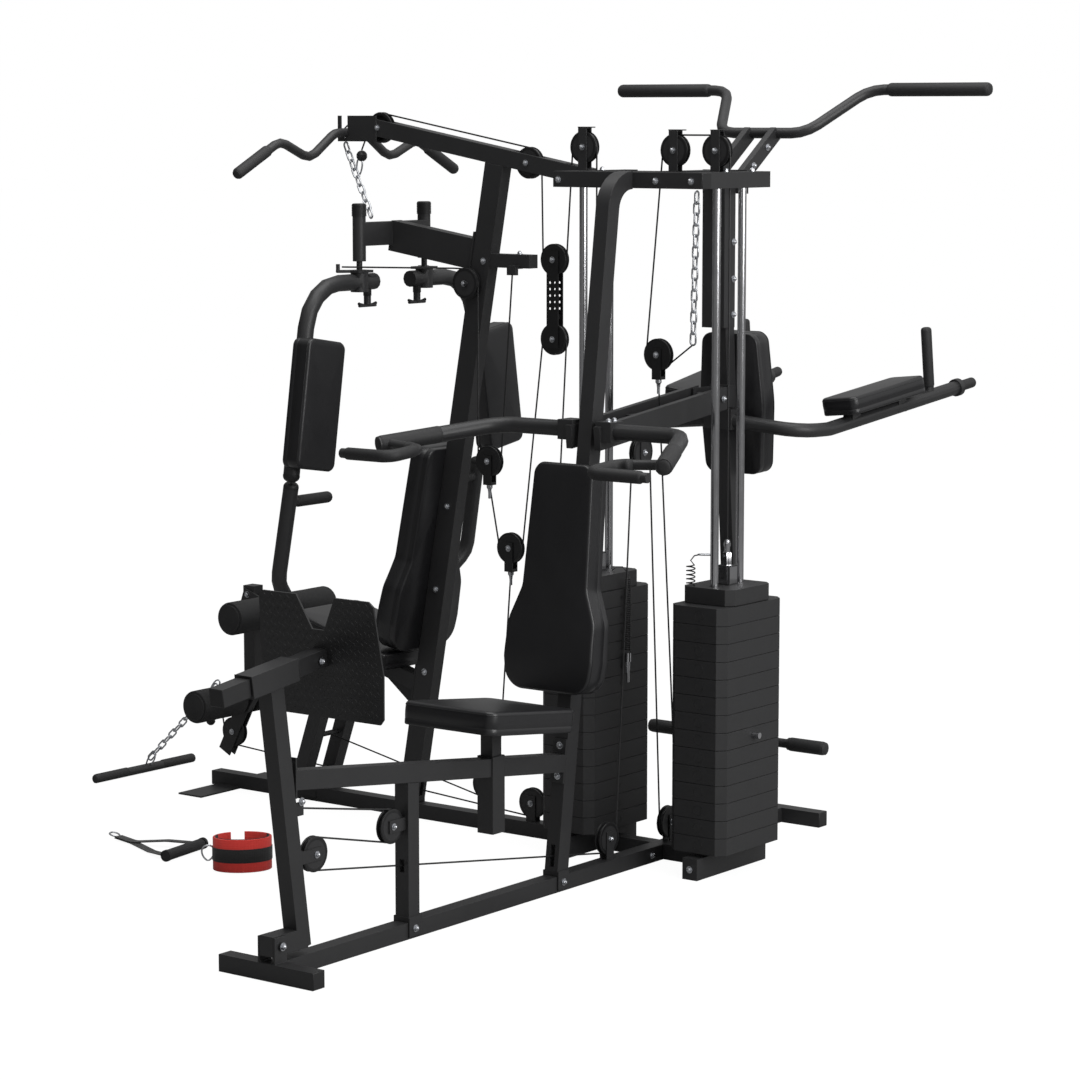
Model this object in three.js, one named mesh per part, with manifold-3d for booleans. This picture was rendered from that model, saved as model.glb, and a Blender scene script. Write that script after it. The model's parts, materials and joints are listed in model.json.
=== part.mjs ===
// Multi station home gym: a square-tube steel frame that carries two weight stacks, a seated
// press station on -X, a butterfly and lat station on +Y and a dip and leg-raise station on +X.
// Millimetres, +Z up. Parts are laid out in the machine's own plan, whose Z axis passes
// through the crossing of the two base rails; at the end the whole is shifted so that the
// origin is the middle of its footprint on the floor.
import * as THREE from 'three';
import { mergeVertices } from 'three/addons/utils/BufferGeometryUtils.js';
import Module from 'manifold-3d';

const wasm = await Module();
wasm.setup();

// ---- driving dimensions -------------------------------------------------------------
const TUBE = 45; // outer width of the square frame tube
const HALF = TUBE / 2;
const GAP = 0.3; // clearance between bolted pieces
const BASE_HALF = 25; // half width of the base under a stack
const STEM_TALL = 174; // stem and fitting above the top of the plates
const STACK_X = -12; // both weight stacks are centred on this X
const STACK_Y = 231; // and on plus and minus this Y
const ROD_SPACING = 128;
const ROD_R = 12;
const PLATE_PITCH = 50.6;
const PLATES = 14;
const PLATES_ON_PIN = 8; // plates above the selector pin
const STACK_Z = 73.5; // underside of the lowest plate
const TOP_Z = 1994; // top face of the upper frame
const FOOT_HALF = 157.5; // half length of the cross feet
const REAR_FOOT_X = 631;
const FRONT_FOOT_X = -1706.5;
const SIDE_RAIL_END_Y = 1764;
const WHEEL_R = 46; // cable pulleys
const WHEEL_HALF = 9;
const CABLE_R = 2.5;
const WRAP_R = 43; // radius of the cable's centreline round a pulley
const UPRIGHT_LEAN = 0.128; // front upright, run per rise
const SIDE_LEAN = -0.176; // side upright, run per rise
const SEAT_SLOPE = -0.122; // front seat beam, rise per run
const SIDE_SEAT_SLOPE = 0.29; // side seat beam, rise per run
const BEAM_SLOPE = 0.132; // foot plate beam, rise per run
const CABLE_X = 0; // plane of the side station's cables

// ---- materials ----------------------------------------------------------------------
function paint(name, color, roughness, metalness) {
  return new THREE.MeshStandardMaterial({ name, color, roughness, metalness });
}

const powderCoat = paint('powder_coat', 0x2b2b2d, 0.5, 0.2);
const vinyl = paint('vinyl', 0x1b1b1d, 0.4, 0);
const foam = paint('foam', 0x222224, 0.85, 0);
const chrome = paint('chrome', 0xd5d5d8, 0.12, 1);
const plateCoat = paint('plate_coat', 0x232325, 0.6, 0.1);
const nylon = paint('nylon', 0x151516, 0.45, 0);
const cableCoat = paint('cable_coat', 0x1a1a1a, 0.4, 0.1);
const treadPlate = paint('tread_plate', 0x2e2e30, 0.45, 0.4);
const webbing = paint('webbing', 0x151515, 0.9, 0);
const redNeoprene = paint('red_neoprene', 0xc0302c, 0.85, 0);

// ---- solids -------------------------------------------------------------------------
function solid(geometry) {
  const plain = geometry.index ? geometry.toNonIndexed() : geometry.clone();
  plain.deleteAttribute('normal');
  plain.deleteAttribute('uv');
  const merged = mergeVertices(plain, 1e-4);
  const mesh = new wasm.Mesh({
    numProp: 3,
    vertProperties: new Float32Array(merged.attributes.position.array),
    triVerts: new Uint32Array(merged.index.array),
  });
  return new wasm.Manifold(mesh);
}

function join(...pieces) {
  return pieces.reduce((whole, piece) => whole.add(piece));
}

function cut(whole, ...tools) {
  return tools.reduce((rest, tool) => rest.subtract(tool), whole);
}

function geometryOf(manifold) {
  const mesh = manifold.getMesh();
  const geometry = new THREE.BufferGeometry();
  geometry.setAttribute('position', new THREE.BufferAttribute(mesh.vertProperties, 3));
  geometry.setIndex(new THREE.BufferAttribute(mesh.triVerts, 1));
  geometry.computeVertexNormals();
  return geometry;
}

const v = (x, y, z) => new THREE.Vector3(x, y, z);

function placed(geometry, origin, along, side) {
  const forward = along.clone().normalize();
  const right = side.clone().addScaledVector(forward, -side.dot(forward)).normalize();
  const up = new THREE.Vector3().crossVectors(forward, right);
  const frame = new THREE.Matrix4().makeBasis(right, up, forward).setPosition(origin);
  return solid(geometry.applyMatrix4(frame));
}

/** An upright box given by its spans along X, Y and Z. */
function block([x0, x1], [y0, y1], [z0, z1]) {
  const geometry = new THREE.BoxGeometry(x1 - x0, y1 - y0, z1 - z0);
  geometry.translate((x0 + x1) / 2, (y0 + y1) / 2, (z0 + z1) / 2);
  return solid(geometry);
}

/** A straight bar from a to b, `wide` across the side direction and `deep` the other way. */
function bar(a, b, wide, deep, side) {
  const along = b.clone().sub(a);
  const geometry = new THREE.BoxGeometry(wide, deep, along.length());
  return placed(geometry, a.clone().add(b).multiplyScalar(0.5), along, side);
}

/** A straight round rod from a to b. */
function rod(a, b, radius, sides = 10) {
  const along = b.clone().sub(a);
  const geometry = new THREE.CylinderGeometry(radius, radius, along.length(), sides);
  geometry.rotateX(Math.PI / 2);
  const side = Math.abs(along.z) > 0.9 * along.length() ? v(1, 0, 0) : v(0, 0, 1);
  return placed(geometry, a.clone().add(b).multiplyScalar(0.5), along, side);
}

/** A path that steps through its own stations, so a straight run takes one step. */
class StationPath extends THREE.Curve {
  constructor(stations) {
    super();
    this.stations = stations;
  }

  getPoint(t, target = new THREE.Vector3()) {
    const at = t * (this.stations.length - 1);
    const index = Math.min(Math.floor(at), this.stations.length - 2);
    return target.lerpVectors(this.stations[index], this.stations[index + 1], at - index);
  }

  getPointAt(u, target) {
    return this.getPoint(u, target);
  }

  getTangentAt(u, target = new THREE.Vector3()) {
    const last = this.stations.length - 1;
    const index = Math.round(u * last);
    const here = this.stations[index];
    const before = here.clone().sub(this.stations[Math.max(index - 1, 0)]).normalize();
    const after = this.stations[Math.min(index + 1, last)].clone().sub(here).normalize();
    return target.copy(before.add(after)).normalize();
  }
}

/** The corners of a bent tube, each replaced by a short arc of the given radius. */
function roundedStations(corners, radius, step = 0.4) {
  const stations = [corners[0]];
  for (let i = 1; i < corners.length - 1; i += 1) {
    const back = corners[i - 1].clone().sub(corners[i]).normalize();
    const on = corners[i + 1].clone().sub(corners[i]).normalize();
    const turn = Math.PI - back.angleTo(on);
    const reach = radius * Math.tan(turn / 2);
    const middle = back.clone().add(on).normalize();
    const centre = corners[i].clone().addScaledVector(middle, radius / Math.cos(turn / 2));
    const start = corners[i].clone().addScaledVector(back, reach).sub(centre);
    const axis = new THREE.Vector3().crossVectors(back, on).normalize().negate();
    const steps = Math.max(2, Math.round(turn / step));
    for (let k = 0; k <= steps; k += 1) {
      stations.push(start.clone().applyAxisAngle(axis, (turn * k) / steps).add(centre));
    }
  }
  stations.push(corners[corners.length - 1]);
  return stations;
}

function sweep(stations, section) {
  const path = new StationPath(stations);
  const geometry = new THREE.ExtrudeGeometry(section, {
    steps: stations.length - 1,
    extrudePath: path,
    curveSegments: 1,
  });
  return solid(geometry);
}

function ring(radius, sides) {
  const points = [];
  for (let i = 0; i < sides; i += 1) {
    const angle = (2 * Math.PI * i) / sides;
    points.push(new THREE.Vector2(radius * Math.cos(angle), radius * Math.sin(angle)));
  }
  return new THREE.Shape(points);
}

function bentRod(corners, radius, bend, sides = 12) {
  return sweep(roundedStations(corners, bend), ring(radius, sides));
}

/** A turned piece: closed profile of [radius, height] pairs, spun round the given axis. */
function turned(profile, centre, axis, segments = 20) {
  const points = profile.map(([radius, height]) => new THREE.Vector2(radius, height));
  const geometry = new THREE.LatheGeometry(points, segments);
  geometry.rotateX(Math.PI / 2);
  const side = Math.abs(axis.z) > 0.9 ? v(1, 0, 0) : v(0, 0, 1);
  return placed(geometry, centre, axis, side);
}

/** A flat plate cut to an outline in the plane of `side` and `up`, centred on `origin`. */
function plate(outline, thick, origin, side, up) {
  const shape = new THREE.Shape(outline.map(([x, y]) => new THREE.Vector2(x, y)));
  const geometry = new THREE.ExtrudeGeometry(shape, { depth: thick, bevelEnabled: false });
  const normal = new THREE.Vector3().crossVectors(side, up).normalize();
  const frame = new THREE.Matrix4().makeBasis(side, up, normal).setPosition(origin);
  return solid(geometry.applyMatrix4(frame));
}

const X = v(1, 0, 0);
const Y = v(0, 1, 0);
const Z = v(0, 0, 1);
const frontUprightX = (z) => -514 + UPRIGHT_LEAN * (z - TUBE);
const sideUprightY = (z) => 945.6 + SIDE_LEAN * (z - TUBE);
const seatBeamZ = (x) => 368 + SEAT_SLOPE * (x + 560);
const sideBeamZ = (y) => 427 + SIDE_SEAT_SLOPE * (y - 930);
const leverX = (z) => -1606 - 0.1385 * (z - 88);
const footBeamZ = (x) => 797 + BEAM_SLOPE * (x + 1490);
const boomZ = (y) => 2042.5 + 0.176 * (y - 651);
const armRestZ = (x) => 1297 + 0.135 * (x - 670); // underside of the arm pads' middle line

// ---- pulleys and cables -------------------------------------------------------------
// Each wheel is [x, y, z] of its centre; `turn` says which way a cable runs round it.
const wheels = {
  topRight: v(STACK_X, -STACK_Y + WRAP_R, 2053),
  topMiddle: v(STACK_X, -45, 2053),
  topLeft: v(STACK_X, STACK_Y + WRAP_R, 2060),
  boomRear: v(CABLE_X, 482, 2013),
  boomTip: v(CABLE_X, 1047, 2114),
  blockTop: v(CABLE_X, 391, 1732),
  blockLow: v(CABLE_X, 391, 1499),
  hangingRight: v(STACK_X, 10, 1471),
  hangingHigh: v(-36, 607, 1128),
  hangingLow: v(CABLE_X, 555, 867),
  sideUpright: v(-36, 693, 1655),
  baseSide: v(CABLE_X, 472, 100),
  baseBend: v(CABLE_X, 650, 135),
  lowRow: v(CABLE_X, 1681, 180),
  basePress: v(-272, 0, 105),
  baseRear: v(33, 0, 101),
  pressArm: v(-112, 0, 1199),
  lever: v(-1543, 0, 292),
  post: v(-1238, 0, 310),
};

function pulleyWheel(centre, axis) {
  const rim = WHEEL_HALF - 2;
  const groove = WRAP_R - CABLE_R - 1.5;
  const profile = [[0, -WHEEL_HALF], [WHEEL_R, -WHEEL_HALF], [WHEEL_R, -rim], [groove, -3.4],
    [groove, 3.4], [WHEEL_R, rim], [WHEEL_R, WHEEL_HALF], [0, WHEEL_HALF]];
  return turned(profile, centre, axis, 16);
}

/** A wheel with the bolt it runs on, for pulleys whose turning is left out. */
function boltedWheel(centre, axis, reach = 16, boltR = 6) {
  const offset = axis.clone().multiplyScalar(reach);
  const bolt = rod(centre.clone().sub(offset), centre.clone().add(offset), boltR);
  return join(pulleyWheel(centre, axis), bolt);
}

/** Two cheek plates that hold a wheel's axle, in the wheel's own plane. */
function cheeks(from, to, wide, axis, inner = WHEEL_HALF + 0.8, thick = 3.2) {
  const offset = axis.clone().multiplyScalar(inner + thick / 2);
  const near = bar(from.clone().add(offset), to.clone().add(offset), thick, wide, axis);
  const far = bar(from.clone().sub(offset), to.clone().sub(offset), thick, wide, axis);
  return [near, far];
}

/**
 * Stations of a cable that starts at `start`, runs round each wheel and ends at `end`.
 * `flat` is 'y' or 'x', the horizontal direction that the cable's plane holds; each stop
 * is { wheel, turn } with turn +1 for anticlockwise in that plane and -1 for clockwise.
 */
function cableStations(start, stops, end, flat) {
  const across = flat === 'y' ? 'x' : 'y';
  const points = [{ c: start, r: 0 }];
  stops.forEach(({ wheel, turn }) => points.push({ c: wheel, r: WRAP_R * turn }));
  points.push({ c: end, r: 0 });
  const place = (h, z, side) => (flat === 'y' ? v(side, h, z) : v(h, side, z));
  const touches = points.map(() => ({}));
  for (let i = 0; i < points.length - 1; i += 1) {
    const a = points[i];
    const b = points[i + 1];
    const dh = b.c[flat] - a.c[flat];
    const dz = b.c.z - a.c.z;
    const distance = Math.hypot(dh, dz);
    const swing = Math.asin((a.r - b.r) / distance);
    const heading = Math.atan2(dz, dh) + swing;
    const normal = heading - Math.PI / 2;
    touches[i].leave = normal;
    touches[i + 1].arrive = normal;
  }
  const stations = [start.clone()];
  for (let i = 1; i < points.length - 1; i += 1) {
    const { c, r } = points[i];
    const turn = Math.sign(r);
    let sweepAngle = (touches[i].leave - touches[i].arrive) * turn;
    sweepAngle = ((sweepAngle % (2 * Math.PI)) + 2 * Math.PI) % (2 * Math.PI);
    const steps = Math.max(1, Math.ceil(sweepAngle / 0.5));
    for (let k = 0; k <= steps; k += 1) {
      const angle = touches[i].arrive + (turn * sweepAngle * k) / steps;
      stations.push(place(c[flat] + r * Math.cos(angle), c.z + r * Math.sin(angle), c[across]));
    }
  }
  stations.push(end.clone());
  return stations;
}

function cable(stations) {
  return sweep(stations, ring(CABLE_R, 8));
}

// ---- base ---------------------------------------------------------------------------
function frontBase() {
  const foot = block([FRONT_FOOT_X - HALF, FRONT_FOOT_X + HALF], [-FOOT_HALF, FOOT_HALF], [0, TUBE]);
  const rail = block([FRONT_FOOT_X, -HALF - GAP], [-HALF, HALF], [0, TUBE]);
  const ears = [-1, 1].map((side) => block([-1724, -1678],
    side > 0 ? [HALF + 1, HALF + 6] : [-HALF - 6, -HALF - 1], [TUBE - 3, 112]));
  const pads = [-1, 1].map((side) => block([-1724, -1684],
    side > 0 ? [HALF - 4, HALF + 6] : [-HALF - 6, -HALF + 4], [TUBE - 3, TUBE + 4]));
  const pivotHole = rod(v(-1700, -60, 88), v(-1700, 60, 88), 8.6, 16);
  const holder = cheeks(v(-272, 0, TUBE - 3), v(-272, 0, 126), 34, Y);
  const body = cut(join(foot, rail, ...ears, ...pads), pivotHole);
  return join(body, ...holder, boltedWheel(wheels.basePress, Y));
}

function sideBase() {
  const rail = block([-HALF, HALF], [-STACK_Y + BASE_HALF + GAP, SIDE_RAIL_END_Y], [0, TUBE]);
  const footPlate = block([-206, 206], [1640, 1739], [0, 5]);
  const pivotEars = [-1, 1].map((side) => block(
    side > 0 ? [HALF - 2, HALF + 3] : [-HALF - 3, -HALF + 2], [1318, 1362], [10, 98]));
  const pivotHole = rod(v(-60, 1340, 75), v(60, 1340, 75), 10.6, 16);
  const holders = [...cheeks(v(0, 472, TUBE - 3), v(0, 472, 124), 34, X),
    ...cheeks(v(0, 650, TUBE - 3), v(0, 650, 158), 34, X)];
  const body = cut(join(rail, footPlate, ...pivotEars), pivotHole);
  return join(body, ...holders, boltedWheel(wheels.baseSide, X), boltedWheel(wheels.baseBend, X));
}

function rearBase() {
  const rail = block([HALF + GAP, REAR_FOOT_X], [-HALF, HALF], [0, TUBE]);
  const foot = block([REAR_FOOT_X - HALF, REAR_FOOT_X + HALF], [-FOOT_HALF, FOOT_HALF], [0, TUBE]);
  const holder = [-1, 1].map((side) => block([24, 52],
    side > 0 ? [9.8, 13] : [-13, -9.8], [TUBE - 3, 122]));
  return join(rail, foot, ...holder, boltedWheel(wheels.baseRear, Y));
}

function stackBase(side) {
  const inner = STACK_Y - BASE_HALF;
  const outer = STACK_Y + BASE_HALF;
  const spanY = side > 0 ? [inner, outer] : [-outer, -inner];
  const saddle = block([-191, 160], spanY, [TUBE + GAP, 62]);
  const left = block([-191, -HALF - GAP], spanY, [0, TUBE + 1]);
  const right = block([HALF + GAP, 160], spanY, [0, TUBE + 1]);
  const endPlate = block([158, 163], spanY, [0, 62]);
  const rail = side > 0 ? join(left, right) : block([-191, 160], spanY, [0, TUBE + 1]);
  return join(saddle, rail, endPlate);
}

// ---- uprights and upper frame -------------------------------------------------------
function shoe(x, y, alongX) {
  const deep = alongX ? [x - 25, x + 25] : [-27, 27];
  const wide = alongX ? [-27, 27] : [y - 32, y + 32];
  const top = block(deep, wide, [TUBE + GAP, TUBE + 14]);
  const sides = [-1, 1].map((side) => {
    const span = side > 0 ? [HALF + 0.5, 27] : [-27, -HALF - 0.5];
    return alongX ? block(deep, span, [6, TUBE + 2]) : block(span, wide, [6, TUBE + 2]);
  });
  return join(top, ...sides);
}

function frontUpright() {
  const base = v(frontUprightX(TUBE + 5), 0, TUBE + 5);
  const corner = v(frontUprightX(TOP_Z - HALF), 0, TOP_Z - HALF);
  const end = v(-188 - GAP, 0, TOP_Z - HALF);
  const section = new THREE.Shape([[-HALF, -25], [HALF, -25], [HALF, 25], [-HALF, 25]]
    .map(([x, y]) => new THREE.Vector2(x, y)));
  const tube = sweep(roundedStations([base, corner, end], 86, 0.2), section);
  const cableSlot = block([-560, -470], [-8, 8], [70, 132]);
  return cut(join(tube, shoe(-514, 0, true)), cableSlot);
}

function frontPost() {
  const top = (x) => seatBeamZ(x) - 25.6;
  const tall = block([-1190, -1145], [-HALF, HALF], [TUBE + 1, 460]);
  const trim = bar(v(-1300, 0, top(-1300) + 60), v(-1050, 0, top(-1050) + 60), 80, 120, Y);
  const slot = block([-1200, -1130], [-8, 8], [178, 212]);
  const holder = cheeks(v(-1254, 0, 310), v(-1180, 0, 310), 34, Y);
  const body = cut(join(tall, shoe(-1167.5, 0, true)), trim, slot);
  return join(body, ...holder, boltedWheel(wheels.post, Y));
}

function sideUpright() {
  const base = v(0, sideUprightY(TUBE + 8), TUBE + 8);
  const topY = sideUprightY(2007.8);
  const top = v(0, topY, boomZ(topY) - 25.75);
  const tube = bar(base, top, TUBE, 66, X);
  const rearPlate = block([-HALF + 2, HALF - 2], [470, 640], [1704, 1744]);
  const eye = block([-42, -28], [505, 537], [1684, 1708]);
  const eyeArm = block([-42, 0], [508, 534], [1702, 1712]);
  const slots = [block([-8, 8], [860, 1010], [66, 112]), block([-8, 8], [860, 1010], [130, 170])];
  const body = cut(join(tube, shoe(0, sideUprightY(TUBE), false)), ...slots);
  const wheelBolt = rod(v(-52, 689, 1655), v(-HALF + 4, 689, 1655), 8);
  return join(body, rearPlate, eye, eyeArm, pulleyWheel(wheels.sideUpright, X), wheelBolt);
}

function rearUpright() {
  const column = block([249, 305], [-39, 39], [1535, TOP_Z]);
  const leg = bar(v(409.8, 0, TUBE + 3), v(302, 0, 1570), TUBE, TUBE, Y);
  const pivotEars = [-1, 1].map((side) => block([196, 300],
    side > 0 ? [30, 35] : [-35, -30], [1305, 1360]));
  const earRoot = block([285, 318], [-35, 35], [1300, 1365]);
  const pivotHole = rod(v(215, -60, 1332), v(215, 60, 1332), 9.6, 16);
  const peg = rod(v(392, -312, 297), v(392, 312, 297), 14, 12);
  const pegGrips = [-1, 1].map((side) => rod(v(392, side * 186, 297), v(392, side * 314, 297), 19, 12));
  return cut(join(column, leg, shoe(411, 0, true), ...pivotEars, earRoot, peg, ...pegGrips), pivotHole);
}

function topFrame() {
  const z = [TOP_Z - TUBE, TOP_Z];
  const front = block([-188, -143], [-256, 256], z);
  const rails = [-1, 1].map((side) => block([-150, 160],
    side > 0 ? [STACK_Y - HALF, STACK_Y + HALF] : [-STACK_Y - HALF, -STACK_Y + HALF], z));
  const flats = [-1, 1].map((side) => block(
    side > 0 ? [STACK_X + 13, STACK_X + 19] : [STACK_X - 19, STACK_X - 13], [-210, 210], z));
  const spine = block([STACK_X + 16, 249 - GAP], [-HALF, HALF], z);
  const tie = block([-150, STACK_X - 15], [-HALF, HALF], z);
  const holders = [wheels.topRight, wheels.topMiddle].flatMap((wheel) => cheeks(
    v(wheel.x, wheel.y, TOP_Z - 30), v(wheel.x, wheel.y, wheel.z + 56), 30, X));
  const caps = [wheels.topRight, wheels.topMiddle].map((wheel) => block(
    [wheel.x - 13, wheel.x + 13], [wheel.y - 15, wheel.y + 15], [wheel.z + 53, wheel.z + 56]));
  const stemSlots = [-1, 1].map((side) => block([STACK_X - 9, STACK_X + 9],
    [side * STACK_Y - 12, side * STACK_Y + 12], [TOP_Z - 60, TOP_Z + 10]));
  const body = cut(join(front, ...rails, ...flats, spine, tie), ...stemSlots);
  return join(body, ...holders, ...caps, boltedWheel(wheels.topRight, X), boltedWheel(wheels.topMiddle, X));
}

function boom() {
  const start = v(0, STACK_Y + HALF + GAP + 5, boomZ(STACK_Y + HALF + 5));
  const end = v(0, 1098, boomZ(1098));
  const tube = bar(start, end, TUBE, 50, X);
  const endPlate = block([-HALF, HALF], [STACK_Y + HALF + GAP, STACK_Y + HALF + 8], [TOP_Z - TUBE, TOP_Z]);
  const slots = [block([-11, 11], [990, 1200], [2040, 2200]), block([-11, 11], [427, 540], [1940, 2100]),
    block([STACK_X - 6, STACK_X + 8], [308, 342], [1900, 2100])];
  const hooks = [-1, 1].map((side) => block(
    side > 0 ? [HALF - 2, HALF + 3] : [-HALF - 3, -HALF + 2], [1050, 1202], [2072, 2150]));
  const notch = join(rod(v(-60, 1175, 2098), v(60, 1175, 2098), 14.9, 16),
    block([-60, 60], [1160.4, 1189.6], [2098, 2200]));
  const holder = cheeks(v(STACK_X, wheels.topLeft.y, 1990), v(STACK_X, wheels.topLeft.y, 2116), 30, X);
  const cap = block([STACK_X - 13, STACK_X + 13], [wheels.topLeft.y - 15, wheels.topLeft.y + 15],
    [2113, 2116]);
  const body = cut(join(tube, endPlate, ...hooks), ...slots, notch);
  const axle = rod(v(-HALF + 2, 1047, 2114), v(HALF - 2, 1047, 2114), 6);
  return join(body, ...holder, cap, axle, boltedWheel(wheels.topLeft, X), boltedWheel(wheels.boomRear, X));
}

function pullUpBar() {
  const z = 2226;
  const grips = [v(696, -657, z), v(696, -252, z), v(503, -150, 2099), v(503, 150, 2099),
    v(696, 252, z), v(696, 657, z)];
  const round = bentRod(grips, 16, 75);
  const arms = [-1, 1].map((side) => bar(v(318, side * 46, 1967), v(503, side * 46, 2099), 20, 42, Y));
  const base = block([305 + GAP, 313], [-78, 78], [1925, TOP_Z]);
  return join(round, ...arms, base);
}

function dipArms() {
  const arm = (side) => bentRod([v(300, side * 30, 1262), v(312, side * 262, 1240),
    v(450, side * 276, 1238), v(1085, side * 348.8, 1325)], 21, 95);
  const flange = (side) => rod(v(1062, side * 346, 1321.7), v(1080, side * 348.2, 1324.3), 27, 16);
  const handle = (side) => rod(v(1080, side * 348.2, 1324.3), v(1152, side * 356.4, 1334.2), 13.5);
  const grip = (side) => rod(v(937, side * 331, 1300), v(912, side * 329, 1512), 14.5);
  const bracket = (side) => [560, 780].map((x) => {
    const y = side * (279 + (x - 480) * 0.115);
    return bar(v(x, y, armRestZ(x) - 44), v(x, y, armRestZ(x) - 7), 44, 34, X);
  });
  const clamp = block([276, 340], [-48, 48], [1235, 1296]);
  const bore = bar(v(405, 0, 100), v(297, 0, 1640), TUBE + 2 * GAP, TUBE + 2 * GAP, Y);
  const parts = [-1, 1].flatMap((side) => [arm(side), flange(side), handle(side), grip(side), ...bracket(side)]);
  return cut(join(...parts, clamp), bore);
}

// ---- seat and station frames ---------------------------------------------------------
function frontSeatBeam() {
  const left = -1628;
  const right = frontUprightX(340) - 27.5;
  const beam = bar(v(left, 0, seatBeamZ(left)), v(right, 0, seatBeamZ(right)), TUBE, 50, Y);
  const stop = block([left - 3, left + 2], [-HALF, HALF], [452, 556]);
  const sleeve = block([-835, -782], [-26.5, 26.5], [218, 431]);
  const bore = block([-829.2, -787.8], [-20.7, 20.7], [100, 520]);
  const heel = bar(v(frontUprightX(305) - 28.8, 0, 305), v(frontUprightX(428) - 28.8, 0, 428), TUBE, 6, Y);
  return join(cut(join(beam, sleeve), bore), stop, heel);
}

function frontSeatPost() {
  const post = block([-828.5, -788.5], [-20, 20], [236, 501]);
  const tray = plate([[-140, -95], [140, -95], [140, 95], [-140, 95]], 5,
    v(-816, 0, 501), v(1, 0, SEAT_SLOPE).normalize(), Y);
  return join(post, tray);
}

function seatOutline(half, long, corner) {
  const shape = [];
  const corners = [[long / 2 - corner, half - corner, 0], [-long / 2 + corner, half - corner, 1],
    [-long / 2 + corner, -half + corner, 2], [long / 2 - corner, -half + corner, 3]];
  corners.forEach(([x, y, quarter]) => {
    for (let k = 0; k <= 3; k += 1) {
      const angle = (Math.PI / 2) * (quarter + k / 3);
      shape.push([x + corner * Math.cos(angle), y + corner * Math.sin(angle)]);
    }
  });
  return shape;
}

function frontSeatPad() {
  const along = v(1, 0, SEAT_SLOPE).normalize();
  const top = plate(seatOutline(157, 382, 30), 66, v(-818, 0, 506.5), along, Y);
  return top;
}

function sideSeatBeam() {
  const back = sideUprightY(420) + 34;
  const beam = bar(v(0, back + 4, sideBeamZ(back + 4)), v(0, 1560, sideBeamZ(1560)), TUBE, 50, X);
  const lean = (z) => sideUprightY(z) + 37.1;
  const heel = bar(v(0, lean(352), 352), v(0, lean(480), 480), TUBE, 6, X);
  const gusset = plate([[16, 0], [150, 43], [16, -62]], 6, v(-3, back + 4, sideBeamZ(back + 4) - 18), Y, Z);
  const ears = [-1, 1].map((side) => bar(v(side * 25, 1500, sideBeamZ(1500)),
    v(side * 25, 1616, sideBeamZ(1616) + 8), 5.4, 48, X));
  const pivotHole = rod(v(-60, 1595, 637), v(60, 1595, 637), 8.6, 16);
  const saddle = bar(v(0, 1000, sideBeamZ(1000) + 31), v(0, 1260, sideBeamZ(1260) + 31), 90, 14, X);
  const rollerBar = rod(v(-225, 1488, 592), v(225, 1488, 592), 12.5);
  return cut(join(beam, heel, gusset, ...ears, saddle, rollerBar), pivotHole);
}

function sideSeatPad() {
  const along = v(0, 1, SIDE_SEAT_SLOPE).normalize();
  const centre = v(0, 1124, sideBeamZ(1124) + 39.2);
  return plate(seatOutline(157, 372, 30), 60, centre, along.negate(), X);
}

/** Half outline of a back pad: narrow shoulders, waist, wide rounded foot. */
function backOutline() {
  const right = [[84, 315], [96, 303], [106, -20], [126, -85], [146, -130], [151, -180], [150, -240],
    [136, -285], [108, -312]];
  const left = right.map(([x, y]) => [-x, y]).reverse();
  return [...right, ...left].reverse();
}

function frontBackPad() {
  const up = v(UPRIGHT_LEAN, 0, 1).normalize();
  const middle = v(frontUprightX(876) - 43, 0, 876);
  const spacers = [700, 1060].map((z) => bar(v(frontUprightX(z - 30) - 35, 0, z - 30),
    v(frontUprightX(z + 30) - 35, 0, z + 30), 60, 18, Y));
  return join(plate(backOutline(), 76, middle, Y.clone().negate(), up), ...spacers);
}

function sideBackPad() {
  const up = v(0, SIDE_LEAN, 1).normalize();
  const middle = v(0, sideUprightY(842) + 34 + 1, 842);
  return plate(backOutline(), 76, middle, X.clone().negate(), up);
}

function rearBackPad() {
  const up = v(-0.0708, 0, 1).normalize();
  const half = [[76, 210], [92, 202], [98, 180], [108, 80], [112, 0], [108, -80], [98, -180], [92, -202],
    [76, -210]];
  const outline = [...half, ...half.map(([y, z]) => [-y, z]).reverse()].reverse();
  return plate(outline, 78, v(346, 0, 1306), Y, up);
}

function armPad(side) {
  const along = v(1, side * 0.115, 0.135).normalize();
  const across = v(-side * 0.115, 1, side * 0.11).projectOnPlane(along).normalize();
  return plate(seatOutline(68, 352, 26), 56, v(670, side * 301, armRestZ(670)), along, across);
}

function butterflyFrame() {
  const face = (z) => sideUprightY(z) + 36.6;
  const beam = bar(v(0, face(1742) + 3, 1742), v(0, 1000, 1790), TUBE, 92, X);
  const heel = bar(v(0, face(1690), 1690), v(0, face(1808), 1808), TUBE + 8, 5, X);
  const cross = block([-154, 154], [990, 1030], [1762, 1832]);
  const posts = [-1, 1].map((side) => rod(v(side * 154, 1010, 1716), v(side * 154, 1010, 1886), 20, 16));
  const pins = [-1, 1].map((side) => rod(v(side * 154, 1010, 1632), v(side * 154, 1010, 1720), 9, 16));
  return join(beam, heel, cross, ...posts, ...pins);
}

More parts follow.
